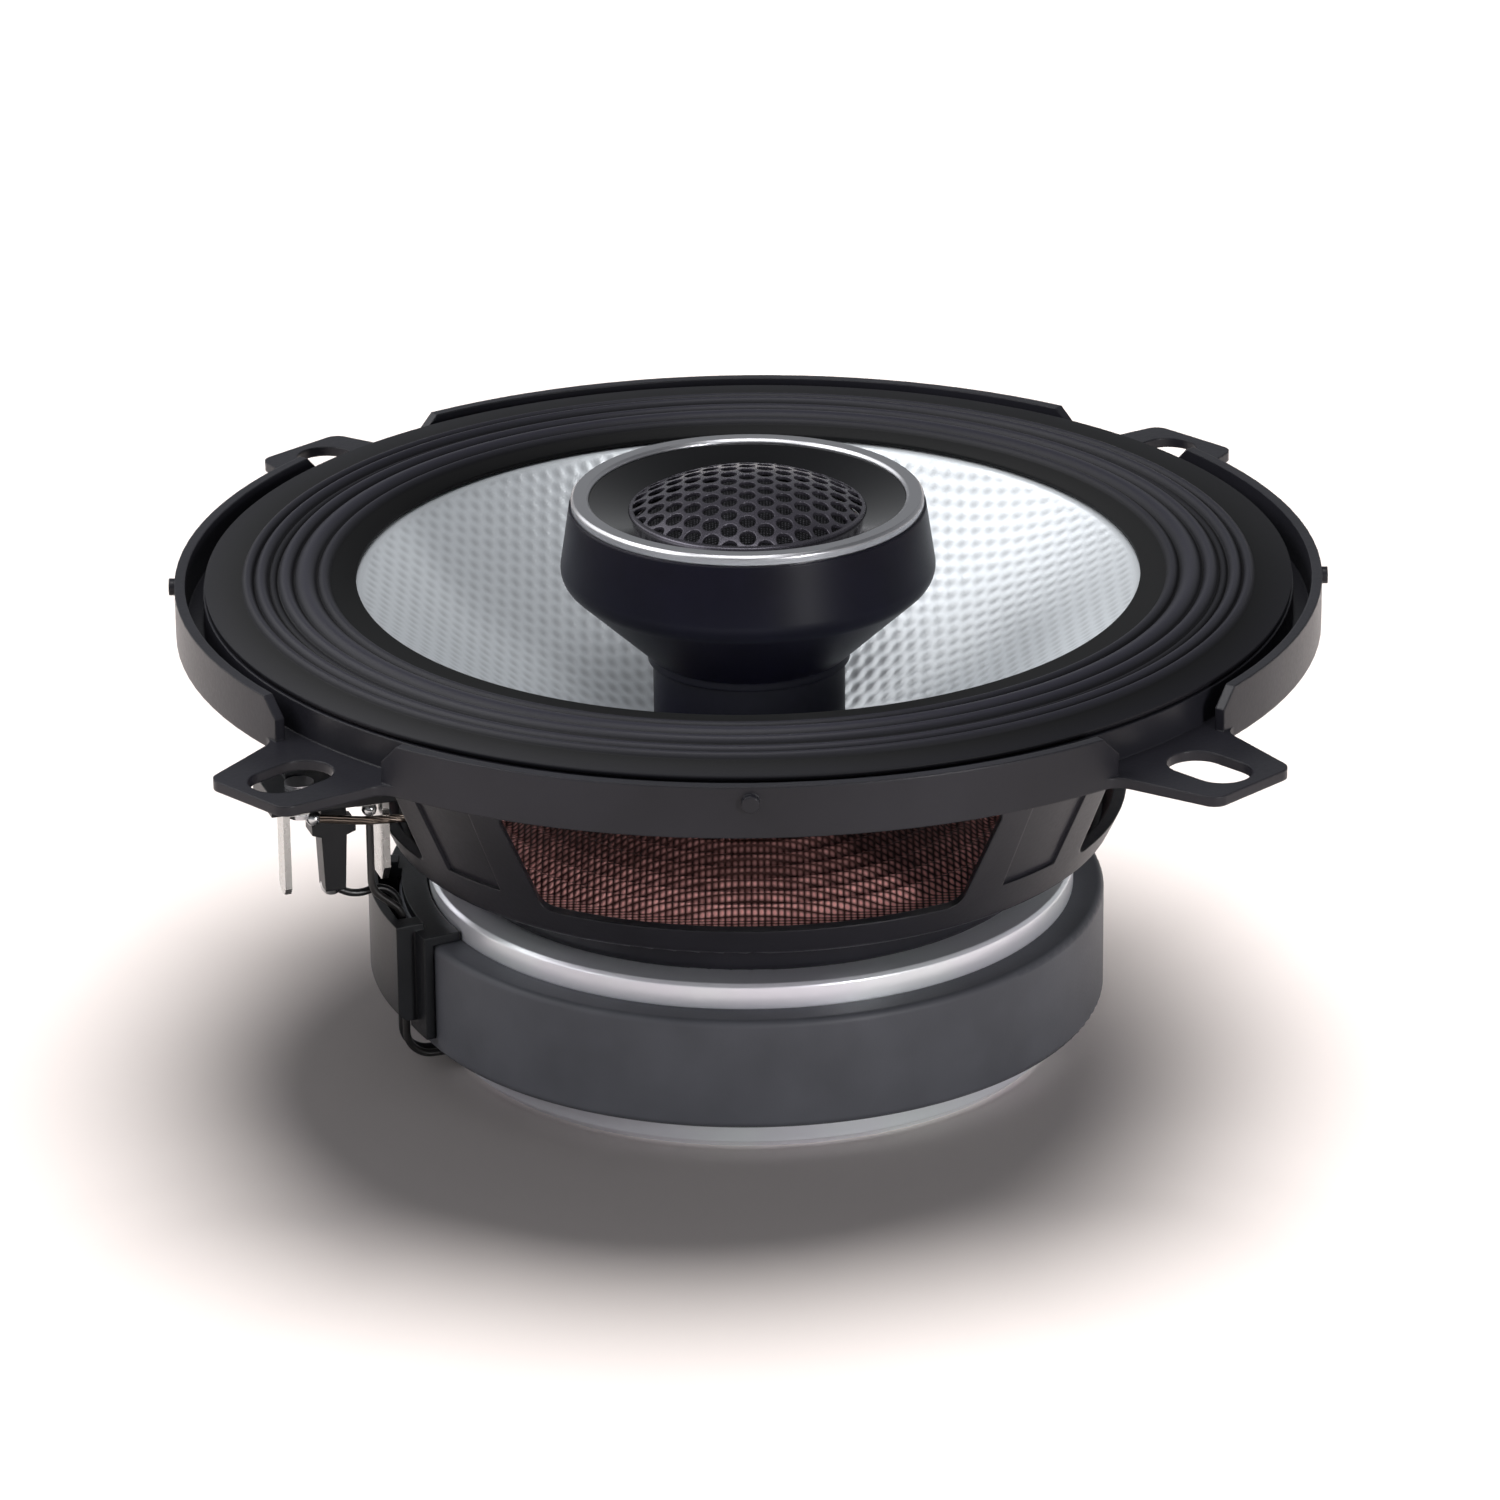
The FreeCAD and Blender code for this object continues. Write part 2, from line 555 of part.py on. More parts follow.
def basket_rivets():
    """Four rivets, each a shank and a low head, as one group."""
    shanks_and_heads = []
    for index in range(int(size("ear_count"))):
        angle = math.radians(90 * index)
        pair = []
        put(pair, "Cylinder", f"rivet_shank_{index}", Radius="rivet_shank",
            Height="rivet_sunk + sheet", Placement_at_Base_at_z="plate_top - rivet_sunk")
        put(pair, "Cone", f"rivet_cap_{index}", Radius1="rivet_head", Radius2="rivet_head - rivet_head_taper",
            Height="rivet_head_high", Placement_at_Base_at_z="base_level + sheet")
        for shape in pair:
            shape.setExpression("Placement.Base.x", formula(f"rivet_circle * {math.cos(angle):.0f}"))
            shape.setExpression("Placement.Base.y", formula(f"rivet_circle * {math.sin(angle):.0f}"))
        rivet = doc.addObject("Part::Fuse", f"rivet_{index}")
        rivet.Base, rivet.Tool = pair
        shanks_and_heads.append(rivet)
    group = doc.addObject("Part::Compound", "basket_rivets")
    group.Links = shanks_and_heads
    doc.recompute()
    return group


# ---- moving coil, cone and suspension ----


def cone():
    return turned("cone", [
        ("former_outer", "cone_neck - cone_thick"),
        ("cone_edge + lip_step", "cone_level - cone_thick"),
        ("cone_lip", "cone_level - cone_thick"),
        ("cone_lip", "cone_level"),
        ("cone_edge", "cone_level"),
        ("former_outer", "cone_neck"),
    ])


def surround():
    """Rolls on a wide flat lip: arcs above, a flat underside."""
    pitch = "(roll_end - roll_start) / roll_count"
    count = int(size("roll_count"))
    rolls = []
    for index in range(count):
        rolls.append((f"roll_end - {index} * {pitch}", "seat_level + lip_thick", "roll_bulge"))
    return turned("surround", [
        ("surround_inner", "roll_under"), ("roll_start", "roll_under"),
        ("seat_inner + seat_step", "roll_under"), ("seat_inner + 2 * seat_step", "seat_level"),
        ("lip_outer", "seat_level"), ("lip_outer", "seat_level + lip_thick"),
        *rolls,
        ("roll_start", "seat_level + lip_thick"), ("surround_inner", "seat_level + lip_thick"),
    ])


def spider():
    """A pleated cloth ring: a flat glued edge outside, and a collar at the coil former."""
    count = int(size("wave_count"))
    pleat = "(wave_end - spider_collar) / (2 * wave_count)"
    flat = "ledge_top"
    upper = []
    for index in range(2 * count + 1):
        level = flat if index % 2 == 0 else f"{flat} + wave_high"
        upper.append((f"wave_end - {index} * {pleat}", level))
    lower = list(reversed(upper))
    top = [(x, f"{z} + cloth") for x, z in upper]
    return turned("spider", [
        ("spider_outer", flat), ("spider_outer", f"{flat} + cloth"),
        *top,
        ("spider_inner", f"{flat} + cloth + collar_high"), ("spider_inner", f"{flat} + collar_high"),
        *lower,
    ])


# ---- tweeter ----


def tweeter_post():
    """Hollow post that stands on the pole; its stem is pressed into the pole's bore."""
    return turned("tweeter_post", [
        ("stem_bore", "stem_low"), ("pole_bore", "stem_low"), ("pole_bore", "plate_top"),
        ("post_radius", "plate_top"), ("post_radius", "post_top"), ("tenon_outer", "post_top"),
        ("tenon_outer", "tenon_top"), ("tenon_inner", "tenon_top"),
        ("tenon_inner", "post_top - tenon_root"), ("post_bore", "post_top - 2 * tenon_root"),
        ("post_bore", "plate_top + post_floor"), ("stem_bore", "plate_top + post_floor"),
    ])


def tweeter_housing():
    body = turned("tweeter_housing", [
        ("tenon_outer", "post_top"), ("neck_radius", "post_top"), ("neck_radius", "neck_top"),
        ("cup_radius", "cup_level"), ("cup_mouth", "cup_top"), ("shelf_radius", "cup_top"),
        ("shelf_radius", "shelf_level"), ("cup_inner", "shelf_level"),
        ("cup_inner", "funnel_high"), ("tenon_outer", "funnel_low"),
    ])
    soften(body, "Fillet", "cup_round", ring_edge("cup_radius", "cup_level"))
    return body


def tweeter_trim_ring():
    return turned("tweeter_trim_ring", [
        ("trim_inner", "trim_low + trim_step"), ("guide_outer + trim_step", "trim_low"),
        ("trim_outer", "trim_low"), ("trim_outer", "trim_top - trim_bevel"),
        ("trim_outer - trim_bevel", "trim_top"), ("trim_inner + trim_bevel", "trim_top"),
        ("trim_inner", "trim_top - trim_bevel"),
    ])


def tweeter_waveguide():
    return turned("tweeter_waveguide", [
        ("guide_bore", "guide_low"), ("guide_step", "guide_low"),
        ("guide_step", "shelf_level"), ("guide_outer", "shelf_level"),
        ("guide_outer", "trim_low"), ("trim_inner - trim_gap", "trim_low + trim_step"),
        ("trim_inner - trim_gap", "guide_rim"), ("guide_bore", "guide_throat"),
    ])


def cap_radius(half_width, rise):
    """Radius of the sphere that a cap of a given half width and rise is cut from."""
    return f"(({half_width})^2 + ({rise})^2) / (2 * ({rise}))"


def tweeter_grille():
    """Domed grille with a short skirt and a honeycomb of round holes."""
    inner = "grille_radius - grille_thick"
    body = turned("tweeter_grille", [
        ("0", "grille_edge + grille_rise - grille_thick"),
        ("0", "grille_edge + grille_rise", f"-{cap_radius('grille_radius', 'grille_rise')}"),
        ("grille_radius", "grille_edge"),
        ("grille_radius", "grille_edge - grille_skirt"),
        (inner, "grille_edge - grille_skirt"),
        (inner, "grille_edge - grille_thick / 2",
         cap_radius(inner, "grille_rise - grille_thick / 2")),
    ])
    holes = new_sketch(body, "XY_Plane", level_plane("grille_edge - grille_skirt"))
    rings = int(size("grille_rings"))
    for row in range(-rings, rings + 1):
        for column in range(-rings, rings + 1):
            across = column + row / 2
            if math.hypot(across, row * math.sqrt(0.75)) > rings - 0.1:
                continue
            circle_at(holes, f"{across} * grille_pitch" if across else "0",
                      f"{row} * grille_pitch * sqrt(0.75)" if row else "0", "grille_hole")
    pocket(body, holes, "grille_rise + 2 * cut_room", reverse=True)
    return body


def tweeter_yoke():
    return turned("tweeter_yoke", [
        ("0", "yoke_low"), ("yoke_outer - yoke_bevel", "yoke_low"),
        ("yoke_outer", "yoke_low + yoke_bevel"), ("yoke_outer", "yoke_top"),
        ("yoke_inner", "yoke_top"), ("yoke_inner", "yoke_low + yoke_floor"),
        ("0", "yoke_low + yoke_floor"),
    ])


def disc(name, radius, low, thick):
    """A plain disc."""
    piece = doc.addObject("Part::Cylinder", name)
    piece.setExpression("Radius", formula(radius))
    piece.setExpression("Height", formula(thick))
    piece.setExpression("Placement.Base.z", formula(low))
    doc.recompute()
    return piece


def tweeter_dome():
    """Soft dome with a short collar that carries its coil."""
    inner = "small_coil_outer - dome_thick"
    return turned("tweeter_dome", [
        ("0", "dome_level + dome_rise - dome_thick"),
        ("0", "dome_level + dome_rise", f"-{cap_radius('small_coil_outer', 'dome_rise')}"),
        ("small_coil_outer", "dome_level"),
        ("small_coil_inner + dome_lip", "dome_level"),
        (inner, "dome_level + dome_lip", cap_radius(inner, "dome_rise - dome_thick - dome_lip")),
    ])


def tweeter_surround():
    """Small half roll round the dome, with the flat flange that holds it."""
    flat = "yoke_top"
    radius = "(edge_outer - edge_inner) / 2 + edge_ease"
    return turned("tweeter_surround", [
        ("edge_inner", flat), ("edge_flange", flat), ("edge_flange", f"{flat} + edge_thick"),
        ("edge_outer", f"{flat} + edge_thick", radius),
        ("edge_inner", f"{flat} + edge_thick"),
    ])


def crossover_capacitor():
    body = turned("crossover_capacitor", [
        ("0", "capacitor_low"), ("capacitor_radius", "capacitor_low"),
        ("capacitor_radius", "capacitor_high"), ("0", "capacitor_high"),
    ])
    rims = [
        ring_edge("capacitor_radius", "capacitor_low"),
        ring_edge("capacitor_radius", "capacitor_high"),
    ]
    soften(body, "Fillet", "capacitor_round", lambda edge: any(rim(edge) for rim in rims))
    return body


# ---- terminals ----


def terminal_board():
    """Moulded bracket: a level board, an upright leg on the basket and a central divider."""
    body = new_body("terminal_board")
    side = new_sketch(body, "XZ_Plane")
    outline(side, [
        ("board_inner", "board_under"), ("board_outer", "board_under"),
        ("board_outer", "board_top"), ("board_inner", "board_top"),
    ])
    pad(body, side, "2 * board_half", both_ways=True)
    post = new_sketch(body, "XZ_Plane")
    centre, half, wing = "divider_centre", "divider_half", "divider_wing"
    profile = [
        (f"{half} - divider_taper", "divider_low"), (half, "wing_low - wing_slope"),
        (wing, "wing_low"), (wing, "wing_high"), (half, "wing_high + wing_slope"),
        (half, "board_under - flare_drop"), (wing, "board_under + board_sunk"),
    ]
    right = [(f"{centre} + {out}", level) for out, level in profile]
    left = [(f"{centre} - ({out})", level) for out, level in reversed(profile)]
    outline(post, right + left)
    pad(body, post, "2 * divider_half", both_ways=True)
    leg = new_sketch(body, "XY_Plane", level_plane("board_top - board_sunk"))
    outline(leg, [
        ("leg_inner", "-board_half"), ("leg_outer", "-board_half"),
        ("leg_outer", "-leg_side"), ("leg_inner", "-leg_side"),
    ])
    pad(body, leg, "leg_top - board_top + board_sunk")
    doc.recompute()
    eyelets = new_sketch(body, "XY_Plane", level_plane("board_top"))
    circle_at(eyelets, "wide_rivet", "0", "eyelet_shank")
    circle_at(eyelets, "narrow_rivet", "narrow_side", "eyelet_shank")
    pocket(body, eyelets, "board_top - board_under")
    leg_hole = new_sketch(body, "YZ_Plane")
    circle_at(leg_hole, "-leg_rivet_side", "leg_rivet_level", "eyelet_shank")
    pocket(body, leg_hole, "leg_outer + cut_room", reverse=True)
    turn_to(body, "terminal_angle")
    return body


def blade(name, face, half, side, tail_low, tail_high, eyelet):
    """A flat tab that hangs from a tail under the board; the tail runs from tail_low to tail_high."""
    body = new_body(name)
    tab = new_sketch(body, "YZ_Plane", FreeCAD.Placement(
        FreeCAD.Vector(0, 0, size(face)), FreeCAD.Rotation()))
    nose, tail_half = f"{half} * blade_nose", f"{half} * tail_share"
    outline(tab, [
        (f"{side} - {nose}", "blade_low"), (f"{side} + {nose}", "blade_low"),
        (f"{side} + {half}", f"blade_low + {nose}"), (f"{side} + {half}", "board_under"),
        (f"{side} - {half}", "board_under"), (f"{side} - {half}", f"blade_low + {nose}"),
    ])
    pad(body, tab, "blade_thick")
    tail = new_sketch(body, "XY_Plane", level_plane("board_under - blade_thick"))
    outline(tail, [
        (tail_low, f"{side} - {tail_half}"), (tail_high, f"{side} - {tail_half}"),
        (tail_high, f"{side} + {tail_half}"), (tail_low, f"{side} + {tail_half}"),
    ])
    pad(body, tail, "blade_thick")
    hole = new_sketch(body, "XY_Plane", level_plane("board_under"))
    circle_at(hole, eyelet, side, "eyelet_shank")
    pocket(body, hole, "blade_thick + cut_room / 2")
    turn_to(body, "terminal_angle")
    return body


def eyelet(name, x, y):
    """A rivet through the board and a blade's tail, with a head at each end."""
    parts = []
    low = "(board_under - blade_thick)"
    put(parts, "Cylinder", f"{name}_shank", Radius="eyelet_shank",
        Height=f"board_top - {low} + 2 * eyelet_high", Placement_at_Base_at_z=f"{low} - eyelet_high")
    put(parts, "Cylinder", f"{name}_cap", Radius="eyelet_head", Height="eyelet_high",
        Placement_at_Base_at_z="board_top")
    put(parts, "Cylinder", f"{name}_foot", Radius="eyelet_foot", Height="eyelet_high",
        Placement_at_Base_at_z=f"{low} - eyelet_high")
    for shape in parts:
        shape.setExpression("Placement.Base.x", formula(x))
        shape.setExpression("Placement.Base.y", formula(y))
    rivet = doc.addObject("Part::MultiFuse", name)
    rivet.Shapes = parts
    return rivet


def bracket_rivet():
    """The rivet that lies level, through the bracket's leg and the basket."""
    parts = []
    put(parts, "Cylinder", "bracket_shank", Radius="eyelet_shank",
        Height="leg_outer - bowl_radius + bracket_grip + eyelet_high",
        Placement_at_Base_at_x="bowl_radius - bracket_grip")
    put(parts, "Cylinder", "bracket_cap", Radius="eyelet_head", Height="eyelet_high",
        Placement_at_Base_at_x="leg_outer")
    for shape in parts:
        level = FreeCAD.Rotation(FreeCAD.Vector(0, 1, 0), 90)
        shape.Placement = FreeCAD.Placement(FreeCAD.Vector(), level)
        shape.setExpression("Placement.Base.y", formula("-leg_rivet_side"))
        shape.setExpression("Placement.Base.z", formula("leg_rivet_level"))
    rivet = doc.addObject("Part::MultiFuse", "bracket_rivet")
    rivet.Shapes = parts
    return rivet


def terminal_rivets():
    group = doc.addObject("Part::Compound", "terminal_rivets")
    group.Links = [
        eyelet("wide_eyelet", "wide_rivet", "0"),
        eyelet("narrow_eyelet", "narrow_rivet", "narrow_side"),
        bracket_rivet(),
    ]
    doc.recompute()
    turn_to(group, "terminal_angle")
    return group


def solder_joints():
    """Beads of solder, where the leads meet the terminals."""
    beads = []
    places = {"lead_bead": ("divider_centre", "-solder_side", "solder_high"), **SOLDERED}
    for name, (x, y, z) in places.items():
        put(beads, "Sphere", name, Radius="solder_radius" if name == "lead_bead" else "small_bead",
            Placement_at_Base_at_x=x, Placement_at_Base_at_y=y, Placement_at_Base_at_z=z)
    group = doc.addObject("Part::Compound", "solder_joints")
    group.Links = beads
    doc.recompute()
    turn_to(group, "terminal_angle")
    return group


def lead_cover():
    """Skin on the magnet's side with a lip over its top, and a chute that holds the leads."""
    body = new_body("lead_cover")
    skin = new_sketch(body, "XZ_Plane", turned_plane(size("cover_angle")))
    outline(skin, [
        ("cover_inner", "cover_low"), ("cover_outer", "cover_low"),
        ("cover_outer", "cover_high"), ("cover_lip", "cover_high"),
        ("cover_lip", "cover_lip_under"), ("cover_inner", "cover_lip_under"),
    ])
    swept_round(body, "Revolution", skin, "cover_sweep")
    chute = new_sketch(body, "XZ_Plane", turned_plane(size("chute_angle")))
    outline(chute, [
        ("cover_inner", "chute_low"), ("chute_outer - chute_bevel", "chute_low"),
        ("chute_outer", "chute_low + chute_bevel"), ("chute_outer", "chute_high"),
        ("cover_inner", "chute_high"),
    ])
    swept_round(body, "Revolution", chute, "chute_sweep")
    room = new_sketch(body, "XZ_Plane", turned_plane(size("chute_angle")))
    outline(room, [
        ("cover_inner - cut_room / 2", "cover_low - cut_room"), ("chute_room_outer", "cover_low - cut_room"),
        ("chute_room_outer", "chute_high + cut_room"),
        ("cover_inner - cut_room / 2", "chute_high + cut_room"),
    ])
    swept_round(body, "Groove", room, "chute_room_sweep")
    doc.recompute()
    return body


# ---- leads ----


def rounded_path(points):
    """Straight runs joined by tangent arcs; each inner point carries its arc's radius."""
    corners = [FreeCAD.Vector(*point[:3]) for point in points]
    edges = []
    start = corners[0]
    for index in range(1, len(corners) - 1):
        here, radius = corners[index], points[index][3]
        back = (corners[index - 1] - here).normalize()
        ahead = (corners[index + 1] - here).normalize()
        half_turn = (math.pi - back.getAngle(ahead)) / 2
        reach = radius * math.tan(half_turn)
        into, out = here + back * reach, here + ahead * reach
        bisector = (back + ahead).normalize()
        middle = here + bisector * (radius / math.cos(half_turn) - radius)
        edges.append(Part.LineSegment(start, into).toShape())
        edges.append(Part.Arc(into, middle, out).toShape())
        start = out
    edges.append(Part.LineSegment(start, corners[-1]).toShape())
    return Part.Wire(edges)


def lead(name, radius, points):
    """A round lead along a route whose points and bend radii are formulas."""
    route = [tuple(size(value) for value in point) for point in points]
    path = rounded_path(route)
    start = path.Edges[0]
    along = start.tangentAt(start.FirstParameter)
    circle = Part.Circle(start.Vertexes[0].Point, along, size(radius))
    section = Part.Wire([circle.toShape()])
    piece = doc.addObject("Part::Feature", name)
    piece.Shape = path.makePipeShell([section], True, True)
    turn_to(piece, "terminal_angle")
    expected = math.pi * size(radius) ** 2 * path.Length
    bends = ", ".join(f"{point[3]:.1f}" for point in route if len(point) == 4)
    print(f"{name}: length {path.Length:.1f}, volume {piece.Shape.Volume:.2f} of {expected:.2f},"
          f" bend radii {bends}")
    if abs(piece.Shape.Volume - expected) > 0.02 * expected:
        raise RuntimeError(f"{name} does not fill its route")
    return piece


def tweeter_leads():
    """Twin leads from the terminals, down the chute, along the back plate and up the post."""
    near, far = "-lead_side", "lead_side"
    end_level = "yoke_top - entry_drop"
    negative = lead("tweeter_lead_negative", "lead_radius", [
        ("divider_centre", near, "solder_high - solder_sunk"),
        ("divider_centre - solder_reach", near, "solder_high - solder_dip", "wide_bend"),
        ("chute_line", near, "hang_level + hang_step", "lead_bend"),
        ("chute_line", near, "groove_line", "edge_bend"),
        ("0", near, "groove_line", "edge_bend"),
        ("0", near, "step_level", "wide_bend"),
        ("side_line", near, "side_low", "wide_bend"),
        ("side_line", near, "side_high", "wide_bend"),
        ("yoke_line", near, "yoke_line_level", "edge_bend"),
        ("yoke_line", near, end_level),
    ])
    positive = lead("tweeter_lead_positive", "lead_radius", [
        SOLDERED["wide_bead"],
        ("wide_blade + wide_solder", far, "hang_level", "hang_bend"),
        ("chute_line", far, "chute_mouth", "hang_bend"),
        ("chute_line", far, "groove_line", "edge_bend"),
        ("0", far, "groove_line", "edge_bend"),
        ("0", far, "capacitor_low"),
    ])
    link = lead("capacitor_lead", "lead_radius", [
        ("-link_line", "0", "capacitor_high"),
        ("-link_line", "0", "link_level", "lead_bend"),
        ("-yoke_line", "0", "yoke_line_level", "edge_bend"),
        ("-yoke_line", "0", end_level),
    ])
    return [negative, positive, link]


def tinsel_leads():
    """Two flexible leads, through a window to the back of the cone near its neck."""

    def route(side, start):
        return start + [
            ("tinsel_out", side, "tinsel_out_level", "tinsel_wide_bend"),
            ("tinsel_middle", side, "tinsel_middle_level", "tinsel_wide_bend"),
            ("tinsel_near", side, "tinsel_near_level", "tinsel_bend"),
            ("tinsel_end", side, "tinsel_end_level"),
        ]

    far = "tinsel_side_far"
    beside_divider = ("tinsel_clear", far, "board_under - wide_drop", "tinsel_bend")
    positive = route("-tinsel_side", [SOLDERED["tinsel_bead"]])
    negative = route(far, [SOLDERED["narrow_bead"], beside_divider])
    return [
        lead("tinsel_lead_positive", "tinsel_radius", positive),
        lead("tinsel_lead_negative", "tinsel_radius", negative),
    ]


def build():
    fill_sheet()
    pieces = [basket(), surround(), spider(), top_plate(), ferrite_magnet(), back_plate_pole()]
    pieces += [basket_rivets(), cone()]
    pieces.append(ring("voice_coil_former", "former_inner", "former_outer", "former_low", "former_high"))
    pieces.append(ring("voice_coil_winding", "former_outer", "coil_outer", "coil_low", "coil_high"))
    pieces += [tweeter_post(), tweeter_housing(), tweeter_trim_ring(), tweeter_waveguide()]
    pieces += [tweeter_grille(), tweeter_yoke()]
    pieces.append(disc("tweeter_magnet", "neo_radius", "yoke_low + yoke_floor", "neo_thick"))
    pieces.append(disc("tweeter_pole_plate", "pole_plate_radius",
                       "yoke_low + yoke_floor + neo_thick", "pole_plate_thick"))
    pieces += [tweeter_dome(), tweeter_surround()]
    pieces.append(ring("tweeter_voice_coil", "small_coil_inner", "small_coil_outer",
                       "small_coil_low", "dome_level"))
    pieces += [crossover_capacitor(), terminal_board()]
    pieces.append(blade("terminal_blade_positive", "wide_blade", "wide_half", "0",
                        "wide_blade", "wide_blade + wide_tail", "wide_rivet"))
    pieces.append(blade("terminal_blade_negative", "narrow_blade", "narrow_half", "narrow_side",
                        "narrow_blade - narrow_tail", "narrow_blade + blade_thick", "narrow_rivet"))
    pieces += [terminal_rivets(), solder_joints(), lead_cover()]
    pieces += tweeter_leads()
    pieces += tinsel_leads()
    return pieces


def check_and_export(pieces):
    """Stop on any failed object or bad shape, then write one file per piece."""
    doc.recompute()
    for item in doc.Objects:
        if {"Invalid", "Error"} & set(item.State):
            raise RuntimeError(f"{item.Label} failed: {item.State}")
    for piece in pieces:
        if piece.Shape.isNull() or not piece.Shape.isValid():
            raise RuntimeError(f"{piece.Label} has no valid shape")
    os.makedirs("parts", exist_ok=True)
    for piece in pieces:
        piece.Shape.exportStep(f"parts/{piece.Label}.step")
        print(f"{piece.Label}: {len(piece.Shape.Solids)} solid(s), {piece.Shape.Volume:.1f} mm3")


check_and_export(build())
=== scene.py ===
import json
import math

import bpy
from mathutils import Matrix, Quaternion, Vector


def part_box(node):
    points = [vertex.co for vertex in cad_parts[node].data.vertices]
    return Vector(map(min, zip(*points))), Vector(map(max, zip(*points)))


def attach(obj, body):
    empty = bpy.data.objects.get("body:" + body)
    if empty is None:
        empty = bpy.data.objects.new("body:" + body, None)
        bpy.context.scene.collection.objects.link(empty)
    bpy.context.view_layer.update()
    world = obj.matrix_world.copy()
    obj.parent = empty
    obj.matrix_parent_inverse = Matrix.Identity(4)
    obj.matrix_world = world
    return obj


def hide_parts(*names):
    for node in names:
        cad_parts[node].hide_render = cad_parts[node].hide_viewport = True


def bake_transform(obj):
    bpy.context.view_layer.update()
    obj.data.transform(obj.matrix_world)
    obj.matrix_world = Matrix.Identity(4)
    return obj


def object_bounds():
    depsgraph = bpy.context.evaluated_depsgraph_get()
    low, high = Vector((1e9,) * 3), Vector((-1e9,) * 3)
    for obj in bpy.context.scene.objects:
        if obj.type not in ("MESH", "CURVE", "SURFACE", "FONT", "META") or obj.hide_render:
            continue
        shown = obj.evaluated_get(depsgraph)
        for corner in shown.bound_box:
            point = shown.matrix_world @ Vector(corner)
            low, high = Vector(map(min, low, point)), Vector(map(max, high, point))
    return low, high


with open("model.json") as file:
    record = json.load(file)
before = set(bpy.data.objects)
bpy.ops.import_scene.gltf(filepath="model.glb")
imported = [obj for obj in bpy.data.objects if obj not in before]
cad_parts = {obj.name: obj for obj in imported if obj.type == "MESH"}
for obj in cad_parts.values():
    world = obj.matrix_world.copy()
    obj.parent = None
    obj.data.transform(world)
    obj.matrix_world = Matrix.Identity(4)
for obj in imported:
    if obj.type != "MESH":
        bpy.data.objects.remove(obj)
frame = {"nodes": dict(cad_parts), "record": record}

# Looks for a coaxial car speaker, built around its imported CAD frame. Metres, +Z out of the
# front of the speaker. Places come from the frame's own boxes.

MM = 0.001
CAD_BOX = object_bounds()
RING_STEPS = 360

# camera: the side that carries the terminals is on the left; angles in degrees
CAMERA_AZIMUTH = -45
CAMERA_ELEVATION = 22.4
CAMERA_ROLL = 0.6
CAMERA_DISTANCE = 0.87
CAMERA_LENS = 178.0
SENSOR_WIDTH = 36.0

# soft boxes for the object: name, azimuth, elevation, (width, height), power
SOFT_BOX_DISTANCE = 0.9
SOFT_BOXES = (
    ("key", -122, 44, (0.7, 0.5), 6.5),
    ("top", -60, 84, (0.45, 0.45), 4.2),
    ("right_strip", -10, 12, (0.12, 0.3), 4.6),
    ("back", 190, 34, (0.5, 0.6), 1.85),
)

# the floor's own light: all three angles in degrees, the last its width in the sky
FLOOR_LIGHT_AZIMUTH = 110
FLOOR_LIGHT_ELEVATION = 73
FLOOR_LIGHT_ANGLE = 44
FLOOR_LIGHT_STRENGTH = 4.45

# backdrop: a round white wall beyond the floor
BACKDROP_RADIUS = 8.0
BACKDROP_HEIGHT = 4.0
BACKDROP_SIDES = 64

# surround: ridges from the lip inwards, each (width, height) in millimetres, then a flat
# band that laps over the cone's edge
SURROUND_LEVEL = 0.9 * MM
LIP_WIDTH = 4.2 * MM
RIDGES = ((1.5, 0.75), (1.7, 0.85), (1.0, 0.35), (1.9, 0.9), (2.7, 0.95), (1.6, 0.7))
RUBBER = 0.6 * MM
RUBBER_LAP = 2.3 * MM
RIDGE_STEPS = 14

# the surround's painted shade across its lip, lighter towards its outer edge, on the scale where 0 is
# a valley and 1 the highest ridge
LIP_SHADE = 0.12
LIP_SHADE_RISE = 0.2

# cone: a hexagonal weave pressed into it, its rows along the diagonal between two ears,
# with painted shade darker in its dimples, and plain borders of one even painted shade
WEAVE_PITCH = 1.87 * MM
WEAVE_DEPTH = 0.11 * MM
WEAVE_TURN = math.radians(45)
WEAVE_MARGIN = 0.5 * MM
PLAIN_SHADE = 0.7
CONE_SHEET = 0.5 * MM
CONE_LIP = 2.6 * MM
CONE_STEPS = 720
CONE_ROWS = 110
CONE_BACK_ROWS = 22

# spider: pleats between a flat rim and a collar turned up against the former; a painted
# shadow darkens it from the second radius in to the first
PLEATS = 6
PLEAT_STEPS = 16
PLEAT_HIGH = 0.6 * MM
CLOTH = 0.5 * MM
SPIDER_CLEARANCE = 0.05 * MM
SPIDER_GAP = 0.4 * MM
SPIDER_FLAT = 4.0 * MM
COLLAR_WIDTH = 1.9 * MM
COLLAR_HIGH = 1.0 * MM
THREAD_PITCH = 0.75 * MM
SPIDER_PAINTED_SHADOW = (24 * MM, 42 * MM)

# the small dome's edge: a half roll
ROLL_WIDTH = 1.2 * MM
ROLL_HIGH = 0.3 * MM
ROLL_GAP = 0.3 * MM
ROLL_LEVEL = 0.3 * MM
ROLL_SHEET = 0.2 * MM
ROLL_RING_STEPS = 180

# grille over the small dome: round holes in a hexagonal pattern, out to its rim
MESH_PITCH = 2.43 * MM
MESH_HOLE = 0.98 * MM
MESH_STEPS = 24
MESH_SHEET = 0.45 * MM
MESH_SKIRT = 0.9 * MM


# ---- meshes ----


def turn_flat(x, y, angle):
    """A point turned about the vertical axis."""
    return x * math.cos(angle) - y * math.sin(angle), x * math.sin(angle) + y * math.cos(angle)


